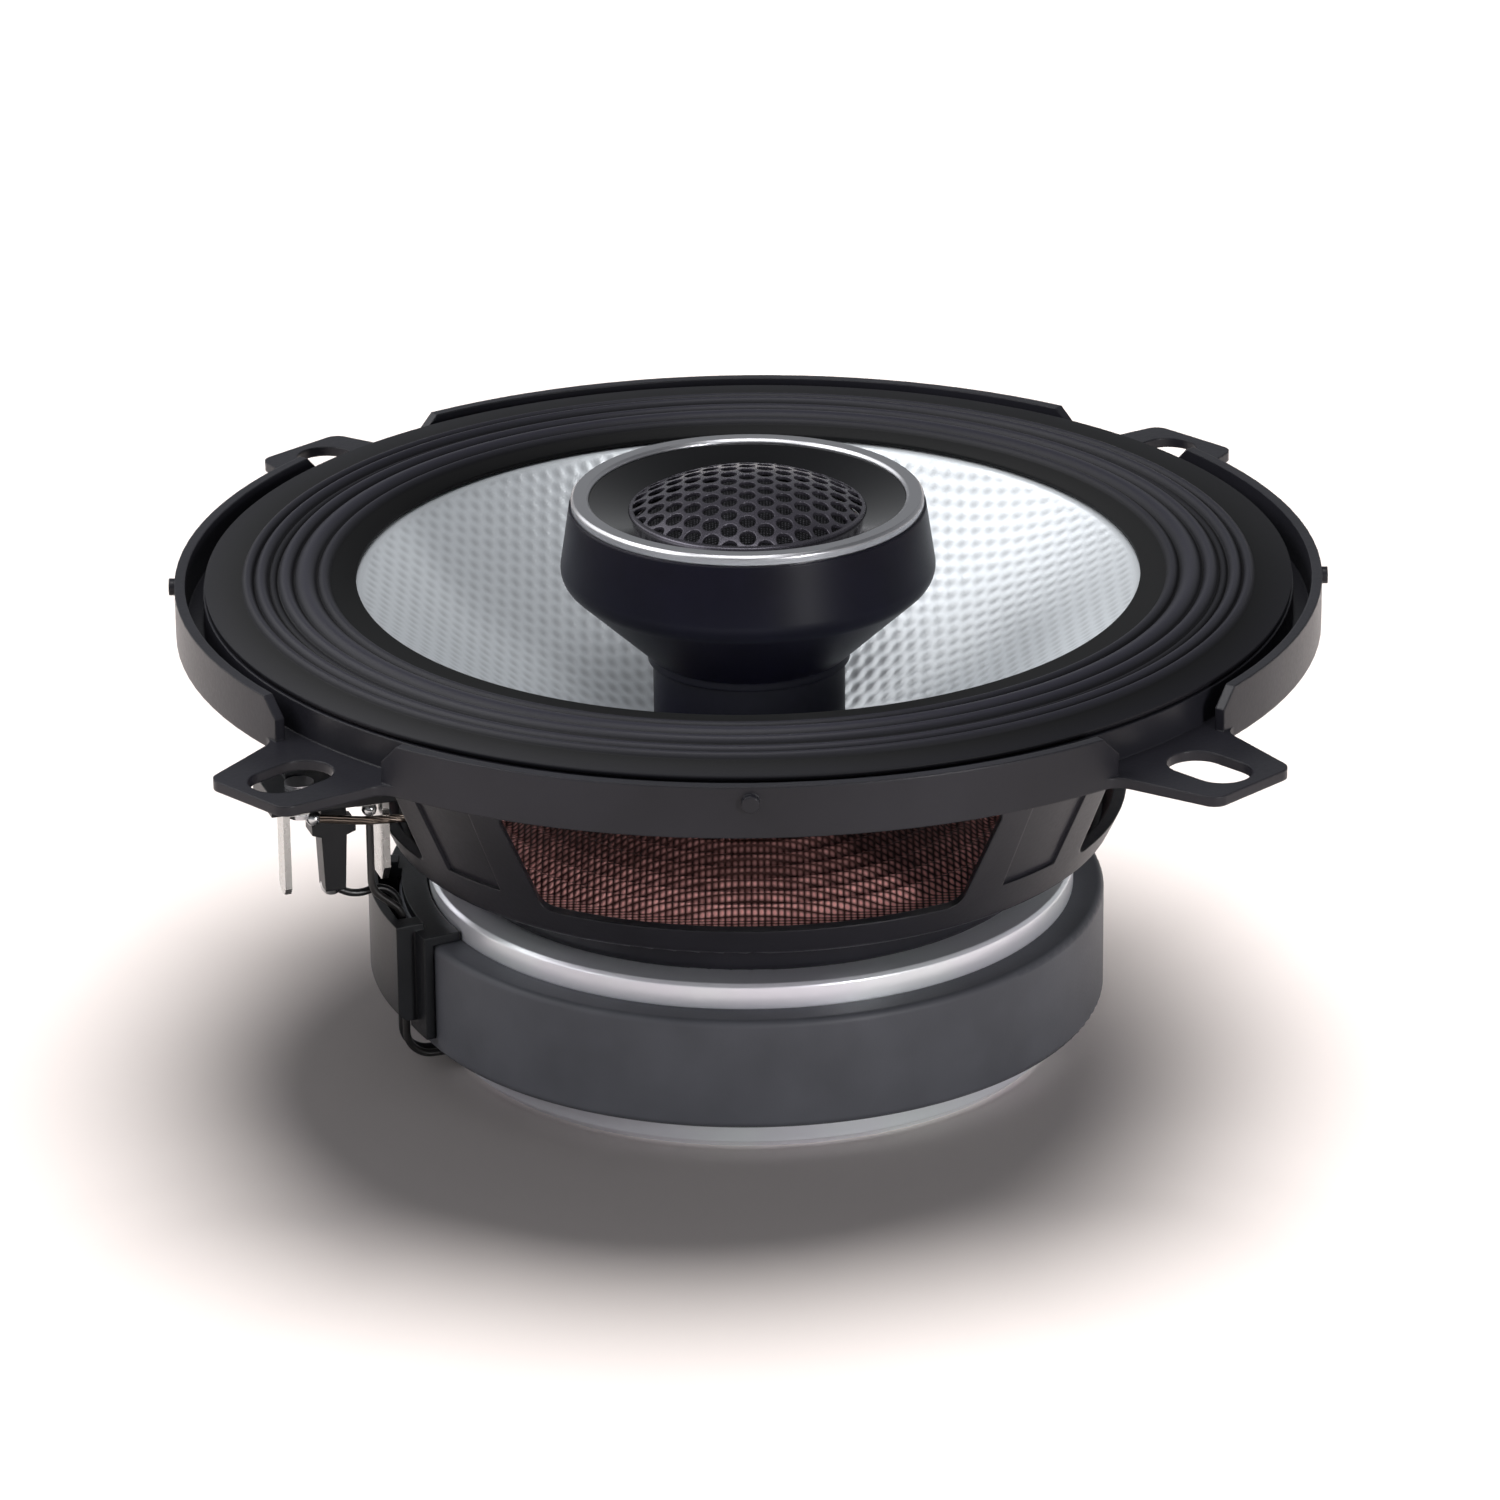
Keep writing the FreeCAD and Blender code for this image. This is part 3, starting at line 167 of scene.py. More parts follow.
def direction(azimuth, elevation):
    """The unit vector towards a place in the sky; azimuth 0 is -Y. Degrees."""
    turn, lift = math.radians(azimuth), math.radians(elevation)
    return Vector((
        math.sin(turn) * math.cos(lift), -math.cos(turn) * math.cos(lift), math.sin(lift),
    ))


def link_object(name, data):
    """A new object in the scene."""
    made = bpy.data.objects.new(name, data)
    bpy.context.scene.collection.objects.link(made)
    return made


def new_object(name, vertices, faces):
    """A smooth-shaded mesh object."""
    mesh = bpy.data.meshes.new(name)
    mesh.from_pydata(vertices, [], faces)
    mesh.update()
    mesh.polygons.foreach_set("use_smooth", [True] * len(mesh.polygons))
    return link_object(name, mesh)


def turned(name, profile, steps=RING_STEPS):
    """A ring swept about the vertical axis from a closed profile of (radius, height)."""
    count = len(profile)
    vertices = []
    for step in range(steps):
        angle = 2 * math.pi * step / steps
        across, along = math.cos(angle), math.sin(angle)
        vertices += [(radius * across, radius * along, level) for radius, level in profile]
    faces = []
    for step in range(steps):
        here, there = step * count, (step + 1) % steps * count
        for index in range(count):
            after = (index + 1) % count
            faces.append((here + index, there + index, there + after, here + after))
    return new_object(name, vertices, faces)


def ride_ring(piece):
    """Clear the ring's transform, baking it into stand-in points by radius, then put its own points
    back.
    """
    places = [vertex.co.copy() for vertex in piece.data.vertices]
    for vertex, place in zip(piece.data.vertices, places):
        vertex.co = (math.hypot(place.x, place.y), 0, 0)
    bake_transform(piece)
    for vertex, place in zip(piece.data.vertices, places):
        vertex.co = place
    piece.data.update()


def thick_profile(upper, thickness):
    """Closed profile of a sheet whose upper side is given from the outside in."""
    lower = [(radius, level - thickness) for radius, level in reversed(upper)]
    return upper + lower


# ---- material nodes ----


def new_material(name, colour, roughness, metallic=0.0, specular=0.5):
    """A material with a Principled shader, its constants set on the shader itself."""
    material = bpy.data.materials.new(name)
    material.use_nodes = True
    shader = material.node_tree.nodes["Principled BSDF"]
    shader.inputs["Base Color"].default_value = (*colour, 1)
    shader.inputs["Roughness"].default_value = roughness
    shader.inputs["Metallic"].default_value = metallic
    shader.inputs["Specular IOR Level"].default_value = specular
    return material, material.node_tree, shader


def place_coordinates(tree, turn=0.0):
    """The piece's own coordinates, in metres, turned about the vertical axis."""
    source = tree.nodes.new("ShaderNodeTexCoord")
    mapping = tree.nodes.new("ShaderNodeMapping")
    mapping.inputs["Rotation"].default_value = (0, 0, turn)
    tree.links.new(source.outputs["Object"], mapping.inputs["Vector"])
    return mapping.outputs["Vector"]


def noise(tree, vector, scale, detail=4.0):
    """Smooth noise between 0 and 1."""
    texture = tree.nodes.new("ShaderNodeTexNoise")
    texture.inputs["Scale"].default_value = scale
    texture.inputs["Detail"].default_value = detail
    tree.links.new(vector, texture.inputs["Vector"])
    return texture.outputs["Fac"]


def math_node(tree, operation, first, second=None):
    """One operation on numbers or sockets."""
    node = tree.nodes.new("ShaderNodeMath")
    node.operation = operation
    for socket, value in zip(node.inputs, (first, second)):
        if isinstance(value, (int, float)):
            socket.default_value = value
        elif value is not None:
            tree.links.new(value, socket)
    return node.outputs["Value"]


def ramp(tree, value, stops):
    """Colours by a value, from stops of (position, colour)."""
    node = tree.nodes.new("ShaderNodeValToRGB")
    elements = node.color_ramp.elements
    while len(elements) < len(stops):
        elements.new(0.5)
    for element, (position, colour) in zip(elements, stops):
        element.position = position
        element.color = (*colour, 1)
    tree.links.new(value, node.inputs["Fac"])
    return node.outputs["Color"]


def span(tree, value, low, high, start=0.0, end=1.0):
    """A value between start and end brought to the span from low to high."""
    node = tree.nodes.new("ShaderNodeMapRange")
    node.inputs["From Min"].default_value = start
    node.inputs["From Max"].default_value = end
    node.inputs["To Min"].default_value = low
    node.inputs["To Max"].default_value = high
    tree.links.new(value, node.inputs["Value"])
    return node.outputs["Result"]


def bump(tree, shader, height, distance, rounding=0.0):
    """Fine relief, over edges that catch the light as if they were rounded."""
    node = tree.nodes.new("ShaderNodeBump")
    node.inputs["Distance"].default_value = distance
    tree.links.new(height, node.inputs["Height"])
    if rounding:
        edges = tree.nodes.new("ShaderNodeBevel")
        edges.samples = 6
        edges.inputs["Radius"].default_value = rounding
        tree.links.new(edges.outputs["Normal"], node.inputs["Normal"])
    tree.links.new(node.outputs["Normal"], shader.inputs["Normal"])


def varied(colour, amount):
    """A darker and a lighter version of a colour."""
    return tuple(c * (1 - amount) for c in colour), tuple(min(c * (1 + amount), 1) for c in colour)


def grained(
    name, colour, roughness, grain, depth, metallic=0.0, spread=0.15, specular=0.5, rounding=0.0,
):
    """Painted, moulded or cast surface: fine grain in its height, colour and gloss."""
    material, tree, shader = new_material(name, colour, roughness, metallic, specular)
    where = place_coordinates(tree)
    fine = noise(tree, where, 1 / grain)
    broad = noise(tree, where, 0.04 / grain, 2.0)
    dark, light = varied(colour, spread)
    tree.links.new(ramp(tree, broad, ((0.3, dark), (0.7, light))), shader.inputs["Base Color"])
    tree.links.new(span(tree, fine, roughness - 0.06, roughness + 0.06), shader.inputs["Roughness"])
    bump(tree, shader, fine, depth, rounding)
    return material


def axis_distance(tree, where):
    """Distance from the vertical axis, with the node that holds the separate coordinates."""
    parts = tree.nodes.new("ShaderNodeSeparateXYZ")
    tree.links.new(where, parts.inputs["Vector"])
    square_x = math_node(tree, "MULTIPLY", parts.outputs["X"], parts.outputs["X"])
    square_y = math_node(tree, "MULTIPLY", parts.outputs["Y"], parts.outputs["Y"])
    return math_node(tree, "SQRT", math_node(tree, "ADD", square_x, square_y)), parts


def lathe_finish(name, colour, roughness, line_pitch, depth, metallic=1.0, tint=None):
    """Turned metal: fine rings round the axis, with a faint tint that wanders."""
    material, tree, shader = new_material(name, colour, roughness, metallic)
    where = place_coordinates(tree)
    radius, parts = axis_distance(tree, where)
    ring_place = tree.nodes.new("ShaderNodeCombineXYZ")
    tree.links.new(radius, ring_place.inputs["X"])
    tree.links.new(parts.outputs["Z"], ring_place.inputs["Z"])
    lines = noise(tree, ring_place.outputs["Vector"], 1 / line_pitch, 3.0)
    broad = noise(tree, where, 60.0, 2.0)
    tinted = ramp(tree, broad, ((0.35, colour), (0.65, tint or colour)))
    tree.links.new(tinted, shader.inputs["Base Color"])
    gloss = span(tree, lines, roughness - 0.04, roughness + 0.05)
    tree.links.new(gloss, shader.inputs["Roughness"])
    bump(tree, shader, lines, depth, 0.3 * MM)
    return material


def weave_material():
    """Silver woven glass fibre, with painted shade: darker in the dimples, lighter on the threads
    between them.
    """
    colour = (0.55, 0.575, 0.60)
    material, tree, shader = new_material("cone_weave", colour, 0.34, 0.5)
    # the weave's depth gives painted shade: darker in the dimples, lighter on the threads round them
    depth = tree.nodes.new("ShaderNodeAttribute")
    depth.attribute_name = "weave"
    dark, light = varied(colour, 0.15)
    shade = ramp(tree, depth.outputs["Fac"], ((0.05, dark), (0.95, light)))
    tree.links.new(shade, shader.inputs["Base Color"])
    where = place_coordinates(tree)
    fibres = noise(tree, where, 1 / (0.25 * MM), 3.0)
    tree.links.new(span(tree, fibres, 0.3, 0.4), shader.inputs["Roughness"])
    shader.inputs["Coat Weight"].default_value = 0.3
    shader.inputs["Coat Roughness"].default_value = 0.25
    bump(tree, shader, fibres, 0.02 * MM)
    return material


def threads_material(name, thread, gap, pitch, painted_shadow_radii=None):
    """Coarse cloth: crossed threads over gaps in painted shade, lighter towards each thread's middle,
    up to a painted highlight.

    Given two radii, a painted shadow darkens the cloth from the second radius in to the first.
    """
    material, tree, shader = new_material(name, thread, 0.6, specular=0.15)
    where = place_coordinates(tree, WEAVE_TURN)
    radius, parts = axis_distance(tree, where)
    waves = []
    for axis in ("X", "Y"):
        phase = math_node(tree, "MULTIPLY", parts.outputs[axis], math.pi / pitch)
        waves.append(math_node(tree, "ABSOLUTE", math_node(tree, "SINE", phase)))
    cloth = math_node(tree, "MULTIPLY", waves[0], waves[1])
    uneven = noise(tree, where, 1 / (2 * pitch), 3.0)
    lit = math_node(tree, "MULTIPLY", cloth, span(tree, uneven, 0.5, 1.5, 0.25, 0.75))
    # a painted shadow, darker from the second radius in to the first
    if painted_shadow_radii:
        lit = math_node(tree, "MULTIPLY", lit, span(tree, radius, 0.4, 1.6, *painted_shadow_radii))
    # painted shade in the gaps, lighter towards each thread's middle, and a painted highlight at the
    # top
    shades = ((0.1, gap), (0.5, thread), (1.0, tuple(min(2.4 * c + 0.03, 1) for c in thread)))
    tree.links.new(ramp(tree, lit, shades), shader.inputs["Base Color"])
    bump(tree, shader, cloth, 0.15 * MM)
    return material


def rubber_material():
    """Satin rubber with painted shade, darker in the valleys between its ridges and lighter on their
    crests, and duller in the valleys.
    """
    material, tree, shader = new_material("surround_rubber", (0.015, 0.015, 0.019), 0.4, specular=0.17)
    rise = tree.nodes.new("ShaderNodeAttribute")
    rise.attribute_name = "rise"
    # painted shade by rise: near black in the valleys, lighter up to the crests
    shades = (
        (0.0, (0.0016, 0.0016, 0.002)), (0.55, (0.011, 0.0108, 0.0145)), (1.0, (0.019, 0.0185, 0.026)),
    )
    tree.links.new(ramp(tree, rise.outputs["Fac"], shades), shader.inputs["Base Color"])
    tree.links.new(span(tree, rise.outputs["Fac"], 0.65, 0.38), shader.inputs["Roughness"])
    bump(tree, shader, noise(tree, place_coordinates(tree), 1 / (0.4 * MM)), 0.008 * MM)
    return material


def braid_material(name, colour):
    """Fine wires wound together."""
    material, tree, shader = new_material(name, colour, 0.35, 1.0)
    wires = tree.nodes.new("ShaderNodeTexWave")
    wires.inputs["Scale"].default_value = 1 / (0.9 * MM)
    wires.inputs["Distortion"].default_value = 1.5
    wires.bands_direction = "DIAGONAL"
    tree.links.new(place_coordinates(tree), wires.inputs["Vector"])
    dark, light = varied(colour, 0.3)
    shade = ramp(tree, wires.outputs["Fac"], ((0.2, dark), (0.8, light)))
    tree.links.new(shade, shader.inputs["Base Color"])
    bump(tree, shader, wires.outputs["Fac"], 0.08 * MM)
    return material


def all_materials():
    """One material for each of the record's slots."""
    made = [
        grained("basket_paint", (0.012, 0.0118, 0.0155), 0.36, 0.5 * MM, 0.012 * MM,
                specular=0.22, rounding=0.35 * MM),
        rubber_material(),
        threads_material("spider_cloth", (0.36, 0.17, 0.16), (0.045, 0.017, 0.015), THREAD_PITCH,
                         SPIDER_PAINTED_SHADOW),
        lathe_finish("zinc_steel", (0.80, 0.84, 0.86), 0.3, 0.4 * MM, 0.002 * MM, 0.6,
                     (0.76, 0.75, 0.82)),
        grained("ferrite", (0.060, 0.062, 0.072), 0.5, 0.3 * MM, 0.01 * MM,
                spread=0.1, specular=0.2, rounding=0.3 * MM),
        grained("rivet_metal", (0.5, 0.5, 0.52), 0.3, 0.3 * MM, 0.01 * MM, 1.0),
        grained("black_moulding", (0.007, 0.0075, 0.009), 0.4, 0.25 * MM, 0.015 * MM,
                specular=0.25, rounding=0.25 * MM),
        grained("tinned_metal", (0.46, 0.46, 0.45), 0.28, 1.2 * MM, 0.005 * MM, 1.0),
        grained("solder", (0.5, 0.51, 0.52), 0.2, 0.6 * MM, 0.03 * MM, 1.0),
        grained("housing_plastic", (0.0032, 0.0030, 0.0078), 0.36, 0.2 * MM, 0.004 * MM,
                specular=0.12, rounding=0.4 * MM),
        lathe_finish("trim_aluminium", (0.47, 0.47, 0.49), 0.28, 0.2 * MM, 0.003 * MM),
        grained("waveguide_plastic", (0.003, 0.003, 0.0035), 0.12, 0.4 * MM, 0.001 * MM,
                specular=0.35),
        grained("grille_metal", (0.055, 0.051, 0.064), 0.27, 0.2 * MM, 0.004 * MM, 0.6,
                rounding=0.15 * MM),
        grained("nickel_magnet", (0.62, 0.61, 0.6), 0.2, 0.3 * MM, 0.005 * MM, 1.0),
        threads_material("dome_cloth", (0.009, 0.009, 0.012), (0.003, 0.003, 0.004), 0.35 * MM),
        braid_material("coil_wire", (0.6, 0.27, 0.13)),
        grained("capacitor_sleeve", (0.015, 0.03, 0.12), 0.3, 0.4 * MM, 0.01 * MM),
        grained("lead_sleeve_grey", (0.014, 0.013, 0.013), 0.35, 0.2 * MM, 0.01 * MM),
        grained("lead_sleeve_black", (0.006, 0.006, 0.007), 0.35, 0.2 * MM, 0.01 * MM),
        braid_material("tinsel_braid", (0.22, 0.18, 0.15)),
        weave_material(),
        grained("former_film", (0.12, 0.06, 0.02), 0.3, 0.4 * MM, 0.005 * MM),
    ]
    return {material.name.split(".")[0]: material for material in made}


# ---- pieces that replace plain CAD solids ----


def ridge_line(outer, level):
    """Upper side of the surround: the flat lip, the ridges, and the inner flat band's start."""
    line = [(outer, level), (outer - LIP_WIDTH, level)]
    edge = outer - LIP_WIDTH
    for width, height in RIDGES:
        for step in range(1, RIDGE_STEPS + 1):
            share = step / RIDGE_STEPS
            rise = math.sin(math.pi * share) ** 0.8 if 0 < share < 1 else 0.0
            line.append((edge - share * width * MM, level + rise * height * MM))
        edge -= width * MM
    return line


def surround(materials):
    """Rubber ring: a lip on the basket's seat, uneven ridges, and a flat band on the cone."""
    low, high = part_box("surround")
    _, cone_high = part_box("cone")
    outer, inner = high.x, cone_high.x - RUBBER_LAP
    level = low.z + SURROUND_LEVEL
    upper = ridge_line(outer, level) + [(inner, level)]
    piece = turned("surround_rubber_ring", thick_profile(upper, RUBBER))
    ridge_top = level + max(height for _, height in RIDGES) * MM
    # each point's rise picks its painted shade: darker in the valleys, lighter on the crests, and
    # across the lip a painted shade that lightens towards its outer edge
    rises = []
    for vertex in piece.data.vertices:
        across_lip = (math.hypot(vertex.co.x, vertex.co.y) - outer + LIP_WIDTH) / LIP_WIDTH
        if across_lip > 0.01:
            rises.append(LIP_SHADE + LIP_SHADE_RISE * across_lip)
        else:
            rises.append(max(vertex.co.z - level, 0) / (ridge_top - level))
    piece.data.attributes.new("rise", "FLOAT", "POINT").data.foreach_set("value", rises)
    piece.data.materials.append(materials["surround_rubber"])
    ride_ring(piece)
    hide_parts("surround")


def weave_height(x, y):
    """The weave's depth, from 0 in a dimple to 1 on the threads round it."""
    turned_x, turned_y = turn_flat(x, y, -WEAVE_TURN)
    wave = 4 * math.pi / (math.sqrt(3) * WEAVE_PITCH)
    total = 0.0
    for third in range(3):
        angle = math.pi / 2 + third * math.pi / 3
        total += math.cos(wave * (turned_x * math.cos(angle) + turned_y * math.sin(angle)))
    return 1 - (total + 1.5) / 4.5


def press_weave(piece, neck, edge, slope):
    """Press the dimples into a cone between two radii, and note each place's depth in the weave, which
    the material paints as shade.
    """
    depths = []
    for vertex in piece.data.vertices:
        x, y = vertex.co.x, vertex.co.y
        radius = math.hypot(x, y)
        if not neck + WEAVE_MARGIN < radius < edge - WEAVE_MARGIN:
            depths.append(PLAIN_SHADE)
            continue
        depths.append(weave_height(x, y))
        sink = (depths[-1] - 1) * WEAVE_DEPTH
        outward = -sink * math.sin(slope)
        vertex.co.x += outward * x / radius
        vertex.co.y += outward * y / radius
        vertex.co.z += sink * math.cos(slope)
    piece.data.attributes.new("weave", "FLOAT", "POINT").data.foreach_set("value", depths)


def cone(materials):
    """The woven cone, its dimples pressed into both faces."""
    low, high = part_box("cone")
    _, former_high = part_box("voice_coil_former")
    neck, edge, lip = former_high.x, high.x - CONE_LIP, high.x
    neck_level = low.z + CONE_SHEET
    profile = [(lip, high.z)]
    for row in range(CONE_ROWS + 1):
        share = 1 - row / CONE_ROWS
        profile.append((neck + share * (edge - neck), neck_level + share * (high.z - neck_level)))
    for row in range(CONE_BACK_ROWS + 1):
        share = row / CONE_BACK_ROWS
        level = neck_level + share * (high.z - neck_level) - CONE_SHEET
        profile.append((neck + share * (edge - neck), level))
    profile.append((lip, high.z - CONE_SHEET))
    piece = turned("cone_woven", profile, CONE_STEPS)
    press_weave(piece, neck, edge, math.atan2(high.z - neck_level, edge - neck))
    piece.data.materials.append(materials["cone_weave"])
    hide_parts("cone")
    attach(piece, "cone_assembly")


def spider(materials):
    """Pleated cloth, glued flat to the basket's ledge and to the coil former."""
    low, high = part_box("spider")
    _, former_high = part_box("voice_coil_former")
    outer, inner = high.x, former_high.x + SPIDER_GAP
    level = low.z + CLOTH + SPIDER_CLEARANCE
    collar = inner + COLLAR_WIDTH
    upper = [(outer, level), (outer - SPIDER_FLAT, level)]
    run = outer - SPIDER_FLAT - collar
    steps = PLEATS * PLEAT_STEPS
    for step in range(1, steps + 1):
        share = step / steps
        swing = 1 - math.cos(2 * math.pi * PLEATS * share)
        upper.append((outer - SPIDER_FLAT - share * run, level + swing * PLEAT_HIGH))
    upper.append((inner, level + COLLAR_HIGH))
    piece = turned("spider_cloth_disc", thick_profile(upper, CLOTH))
    piece.data.materials.append(materials["spider_cloth"])
    ride_ring(piece)
    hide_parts("spider")


def small_surround(materials):
    """The small dome's edge: a half roll and a flat flange."""
    low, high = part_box("tweeter_surround")
    _, dome_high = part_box("tweeter_dome")
    outer, inner = high.x, dome_high.x + ROLL_GAP
    level = low.z + ROLL_LEVEL
    upper = [(outer, level), (inner + ROLL_WIDTH, level)]
    for step in range(1, RIDGE_STEPS + 1):
        share = step / RIDGE_STEPS
        rise = ROLL_HIGH * math.sin(math.pi * share)
        upper.append((inner + ROLL_WIDTH * (1 - share), level + rise))
    piece = turned("tweeter_edge_roll", thick_profile(upper, ROLL_SHEET), ROLL_RING_STEPS)
    piece.data.materials.append(materials["dome_cloth"])
    ride_ring(piece)
    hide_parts("tweeter_surround")


def mesh_cells(reach):
    """Middles of the grille's hexagonal cells, out to a reach."""
    most = 2 * math.ceil(reach / MESH_PITCH)
    for row in range(-most, most + 1):
        for column in range(-most, most + 1):
            along, across = MESH_PITCH * (column + row / 2), MESH_PITCH * row * math.sqrt(0.75)
            x, y = turn_flat(along, across, WEAVE_TURN)
            if math.hypot(x, y) < reach + 0.6 * MESH_PITCH:
                yield x, y


def cell_outlines(x, y, hole):
    """The border of a cell and the border of its hole, point by point."""
    border, rim = [], []
    for step in range(MESH_STEPS):
        angle = 360 * step / MESH_STEPS
        reach = MESH_PITCH / 2 / math.cos(math.radians((angle + 30) % 60 - 30))
        across, along = turn_flat(1, 0, math.radians(angle) + WEAVE_TURN)
        border.append((x + reach * across, y + reach * along))
        rim.append((x + hole * across, y + hole * along))
    return border, rim


def perforated_sheet(reach, level_at):
    """Vertices and faces of a sheet with round holes, the outer ones cut off by its rim.

    A corner past the reach is drawn in to it, and faces that shrink to nothing are dropped.
    """
    vertices, faces, known = [], [], {}

    def point(place, drop, kind):
        distance = math.hypot(*place)
        share = min(reach / distance, 1.0) if distance else 1.0
        x, y = place[0] * share, place[1] * share
        key = (round(x * 1e6), round(y * 1e6), drop, kind)
        if key not in known:
            known[key] = len(vertices)
            vertices.append((x, y, level_at(math.hypot(x, y)) - drop))
        return known[key]

    for x, y in mesh_cells(reach):
        open_cell = math.hypot(x, y) < reach + 0.3 * MESH_HOLE
        border, rim = cell_outlines(x, y, MESH_HOLE if open_cell else 0.0)
        for step in range(MESH_STEPS):
            after = (step + 1) % MESH_STEPS
            corners = [border[step], border[after], rim[after], rim[step]]
            if all(math.hypot(*corner) >= reach for corner in corners):
                continue
            faces.append([point(corner, 0.0, "sheet") for corner in corners])
            faces.append([point(corner, MESH_SHEET, "sheet") for corner in reversed(corners)])
            if open_cell and min(math.hypot(*rim[step]), math.hypot(*rim[after])) < reach:
                wall = ((step, 0.0), (after, 0.0), (after, MESH_SHEET), (step, MESH_SHEET))
                faces.append([point(rim[at], drop, "hole") for at, drop in wall])
    faces = [tuple(dict.fromkeys(face)) for face in faces]
    return vertices, [face for face in faces if len(face) > 2]


def grille(materials):
    """Domed sheet with round holes, and the rim that holds it in the funnel."""
    low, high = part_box("tweeter_grille")
    edge, reach = high.x, high.x - MESH_SHEET
    rise = high.z - low.z - MESH_SKIRT
    ball = (edge ** 2 + rise ** 2) / (2 * rise)

    def level_at(radius):
        return high.z - ball + math.sqrt(ball ** 2 - radius ** 2)

    sheet = new_object("tweeter_grille_mesh", *perforated_sheet(reach, level_at))
    rim_profile = [(edge, level_at(edge)), (edge, low.z), (reach, low.z), (reach, level_at(reach))]
    rim = turned("tweeter_grille_rim", rim_profile)
    for piece in (sheet, rim):
        piece.data.materials.append(materials["grille_metal"])
        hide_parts("tweeter_grille")
        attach(piece, "frame")


def tinsel_lead(node, materials):
    """A braided lead between the terminals and the cone's neck, copied from its CAD node."""
    source = frame["nodes"][node]
    mesh = source.data.copy()
    mesh.name = f"{node}_braid"
    piece = link_object(f"{node}_braid", mesh)
    mesh.materials.clear()
    mesh.materials.append(materials["tinsel_braid"])
    mesh.polygons.foreach_set("use_smooth", [True] * len(mesh.polygons))
    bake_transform(piece)
    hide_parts(node)


# ---- CAD nodes that stay ----


def finish_cad_nodes(materials):
    """Give every CAD node that still shows the material of its slot."""
    slots = {entry["node"]: entry["material_slot"] for entry in frame["record"]["subparts"]}
    for name, node in frame["nodes"].items():
        node.data.materials.clear()
        node.data.materials.append(materials[slots[name]])


# ---- stage ----


def camera(target):
    """The photograph's viewpoint on the lying unit, aimed at the target."""
    data = bpy.data.cameras.new("camera")
    data.lens = CAMERA_LENS
    data.sensor_width = SENSOR_WIDTH
    eye = link_object("camera", data)
    back = direction(CAMERA_AZIMUTH, CAMERA_ELEVATION)
    eye.location = target + back * CAMERA_DISTANCE
    roll = Quaternion((0, 0, 1), -math.radians(CAMERA_ROLL))
    eye.rotation_euler = ((-back).to_track_quat("-Z", "Y") @ roll).to_euler()
    bpy.context.scene.camera = eye


def place_light(data, azimuth, elevation, distance, target, floor, floor_only):
    """A light aimed at the target, which lights either the floor or all the rest."""
    name = data.name
    lamp = link_object(name, data)
    back = direction(azimuth, elevation)
    lamp.location = target + back * distance
    lamp.rotation_euler = (-back).to_track_quat("-Z", "Y").to_euler()
    lamp.visible_camera = False
    lit = bpy.data.collections.new(f"{name}_receivers")
    lit.objects.link(floor)
    for entry in lit.collection_objects:
        entry.light_linking.link_state = "INCLUDE" if floor_only else "EXCLUDE"
    lamp.light_linking.receiver_collection = lit


def soft_boxes(target, floor):
    """Rectangular soft boxes, which light the object and not the floor."""
    for name, azimuth, elevation, size, power in SOFT_BOXES:
        data = bpy.data.lights.new(name, "AREA")
        data.shape = "RECTANGLE"
        data.size, data.size_y = size
        data.energy = power
        place_light(data, azimuth, elevation, SOFT_BOX_DISTANCE, target, floor, False)


def floor_light(target, floor):
    """A broad overhead light that whitens the floor and leaves one soft shadow on it."""
    data = bpy.data.lights.new("floor_light", "SUN")
    data.angle = math.radians(FLOOR_LIGHT_ANGLE)
    data.energy = FLOOR_LIGHT_STRENGTH
    place_light(data, FLOOR_LIGHT_AZIMUTH, FLOOR_LIGHT_ELEVATION, 1.0, target, floor, True)


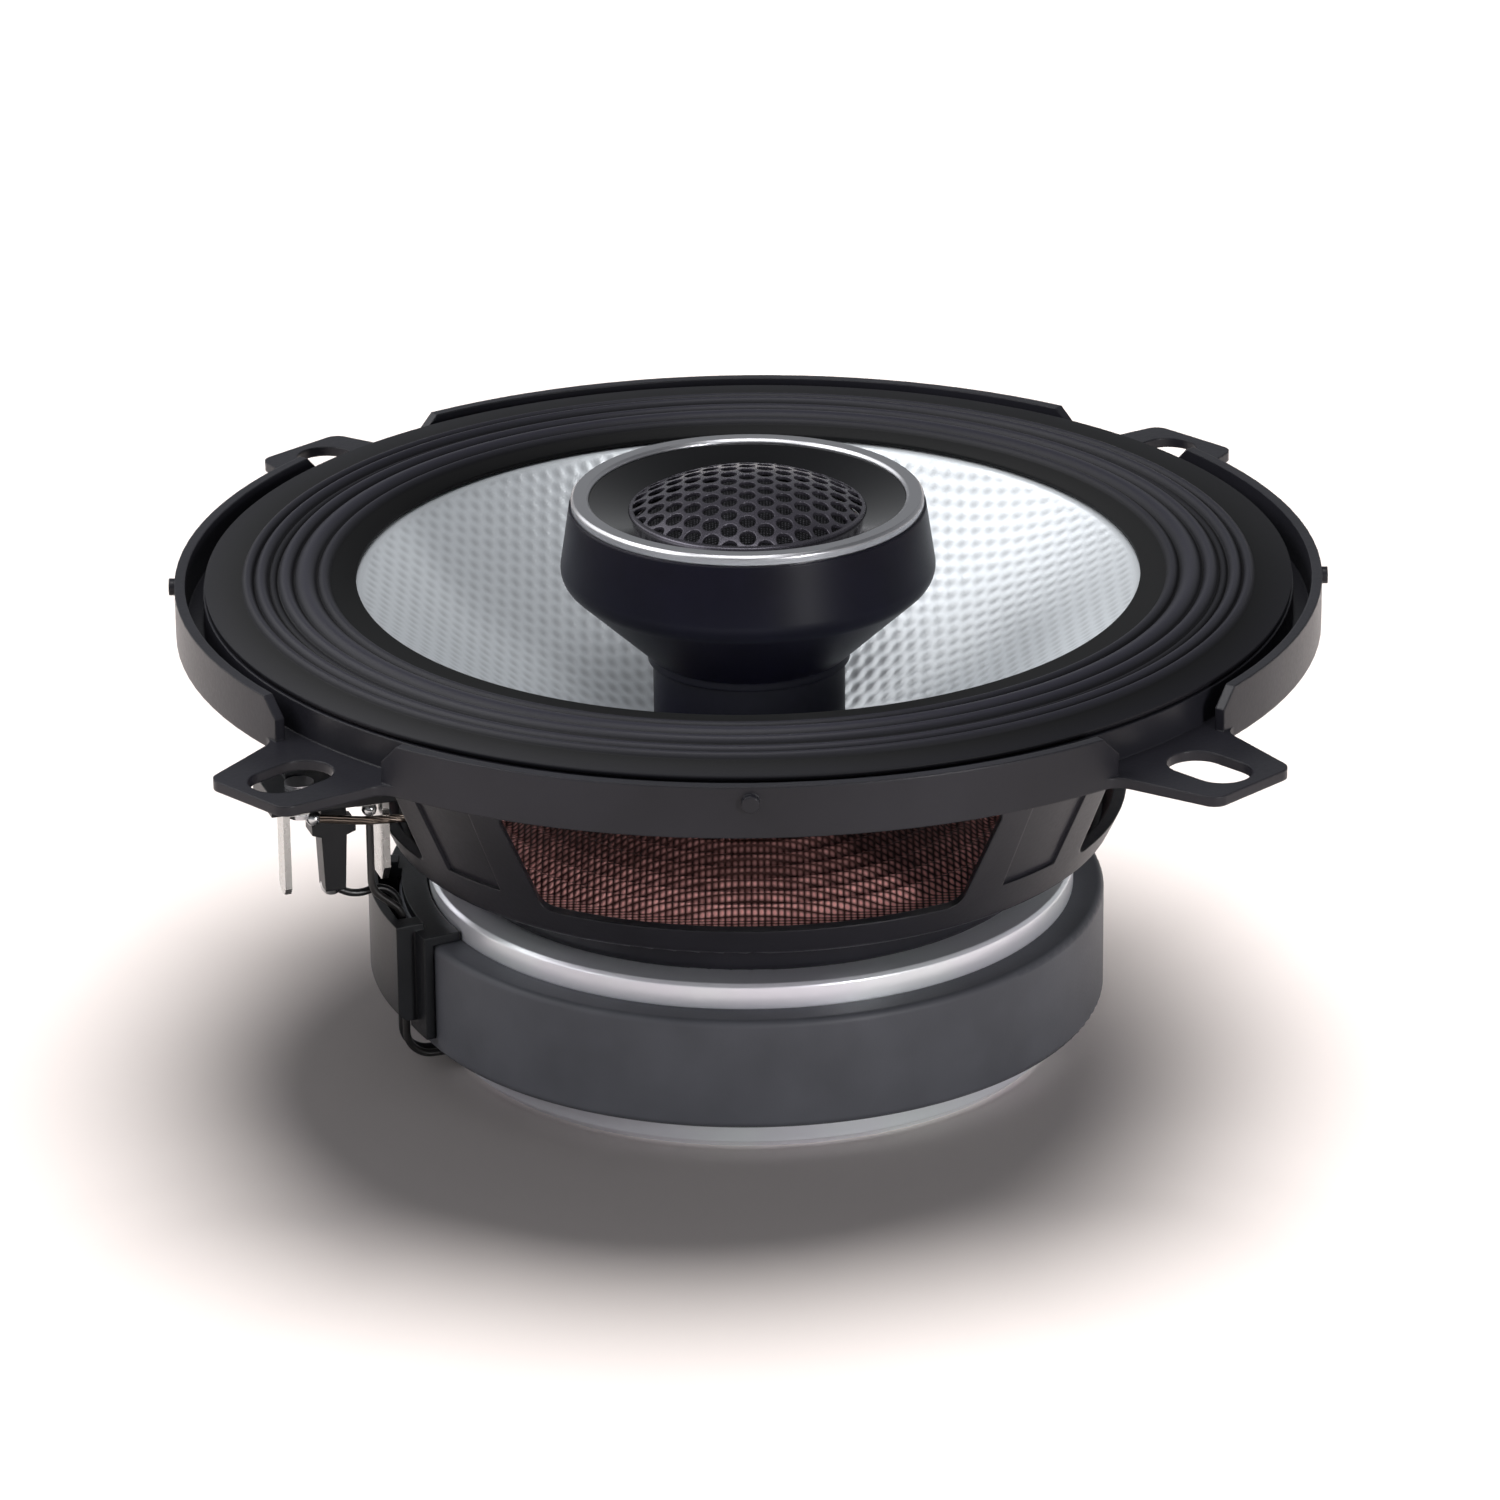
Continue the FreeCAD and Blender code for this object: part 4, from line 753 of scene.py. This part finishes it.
def backdrop(level):
    """A white wall far round the object, which lights nothing."""
    corners = []
    for step in range(BACKDROP_SIDES):
        x, y = turn_flat(BACKDROP_RADIUS, 0, 2 * math.pi * step / BACKDROP_SIDES)
        corners += [(x, y, level), (x, y, level + BACKDROP_HEIGHT)]
    count = len(corners)
    walls = [(low, (low + 2) % count, (low + 3) % count, low + 1) for low in range(0, count, 2)]
    wall = new_object("backdrop", corners, walls)
    paint, _, shader = new_material("backdrop_paper", (1, 1, 1), 1.0)
    shader.inputs["Emission Color"].default_value = (1, 1, 1, 1)
    shader.inputs["Emission Strength"].default_value = 1.0
    wall.data.materials.append(paint)
    wall.visible_diffuse = False
    wall.visible_glossy = False
    wall.visible_shadow = False


def stage(target):
    """A plain pale floor and soft studio light."""
    level = CAD_BOX[0][2]
    bpy.ops.mesh.primitive_plane_add(size=2 * BACKDROP_RADIUS, location=(0, 0, level))
    floor = bpy.context.object
    floor.name = "floor"
    paint, _, _ = new_material("floor_paper", (0.84, 0.77, 0.74), 0.9, specular=0.0)
    floor.data.materials.append(paint)
    backdrop(level)
    studio_sky()
    floor_light(target, floor)
    soft_boxes(target, floor)


def studio_sky():
    """A pale studio, brighter round the horizon than overhead."""
    world = bpy.data.worlds.new("studio")
    world.use_nodes = True
    tree = world.node_tree
    source = tree.nodes.new("ShaderNodeTexCoord")
    parts = tree.nodes.new("ShaderNodeSeparateXYZ")
    tree.links.new(source.outputs["Generated"], parts.inputs["Vector"])
    shades = ((0.0, (0.95, 0.97, 1.0)), (0.4, (0.8, 0.82, 0.85)), (0.8, (0.35, 0.36, 0.38)))
    sky = tree.nodes["Background"]
    tree.links.new(ramp(tree, parts.outputs["Z"], shades), sky.inputs["Color"])
    sky.inputs["Strength"].default_value = 0.42
    bpy.context.scene.world = world
    bpy.context.scene.view_settings.view_transform = "Standard"


def main():
    """Build the stage and every visible piece."""
    centre = (Vector(CAD_BOX[0]) + Vector(CAD_BOX[1])) / 2
    camera(centre)
    stage(centre)
    materials = all_materials()
    finish_cad_nodes(materials)
    surround(materials)
    cone(materials)
    spider(materials)
    small_surround(materials)
    grille(materials)
    tinsel_lead("tinsel_lead_positive", materials)
    tinsel_lead("tinsel_lead_negative", materials)


main()
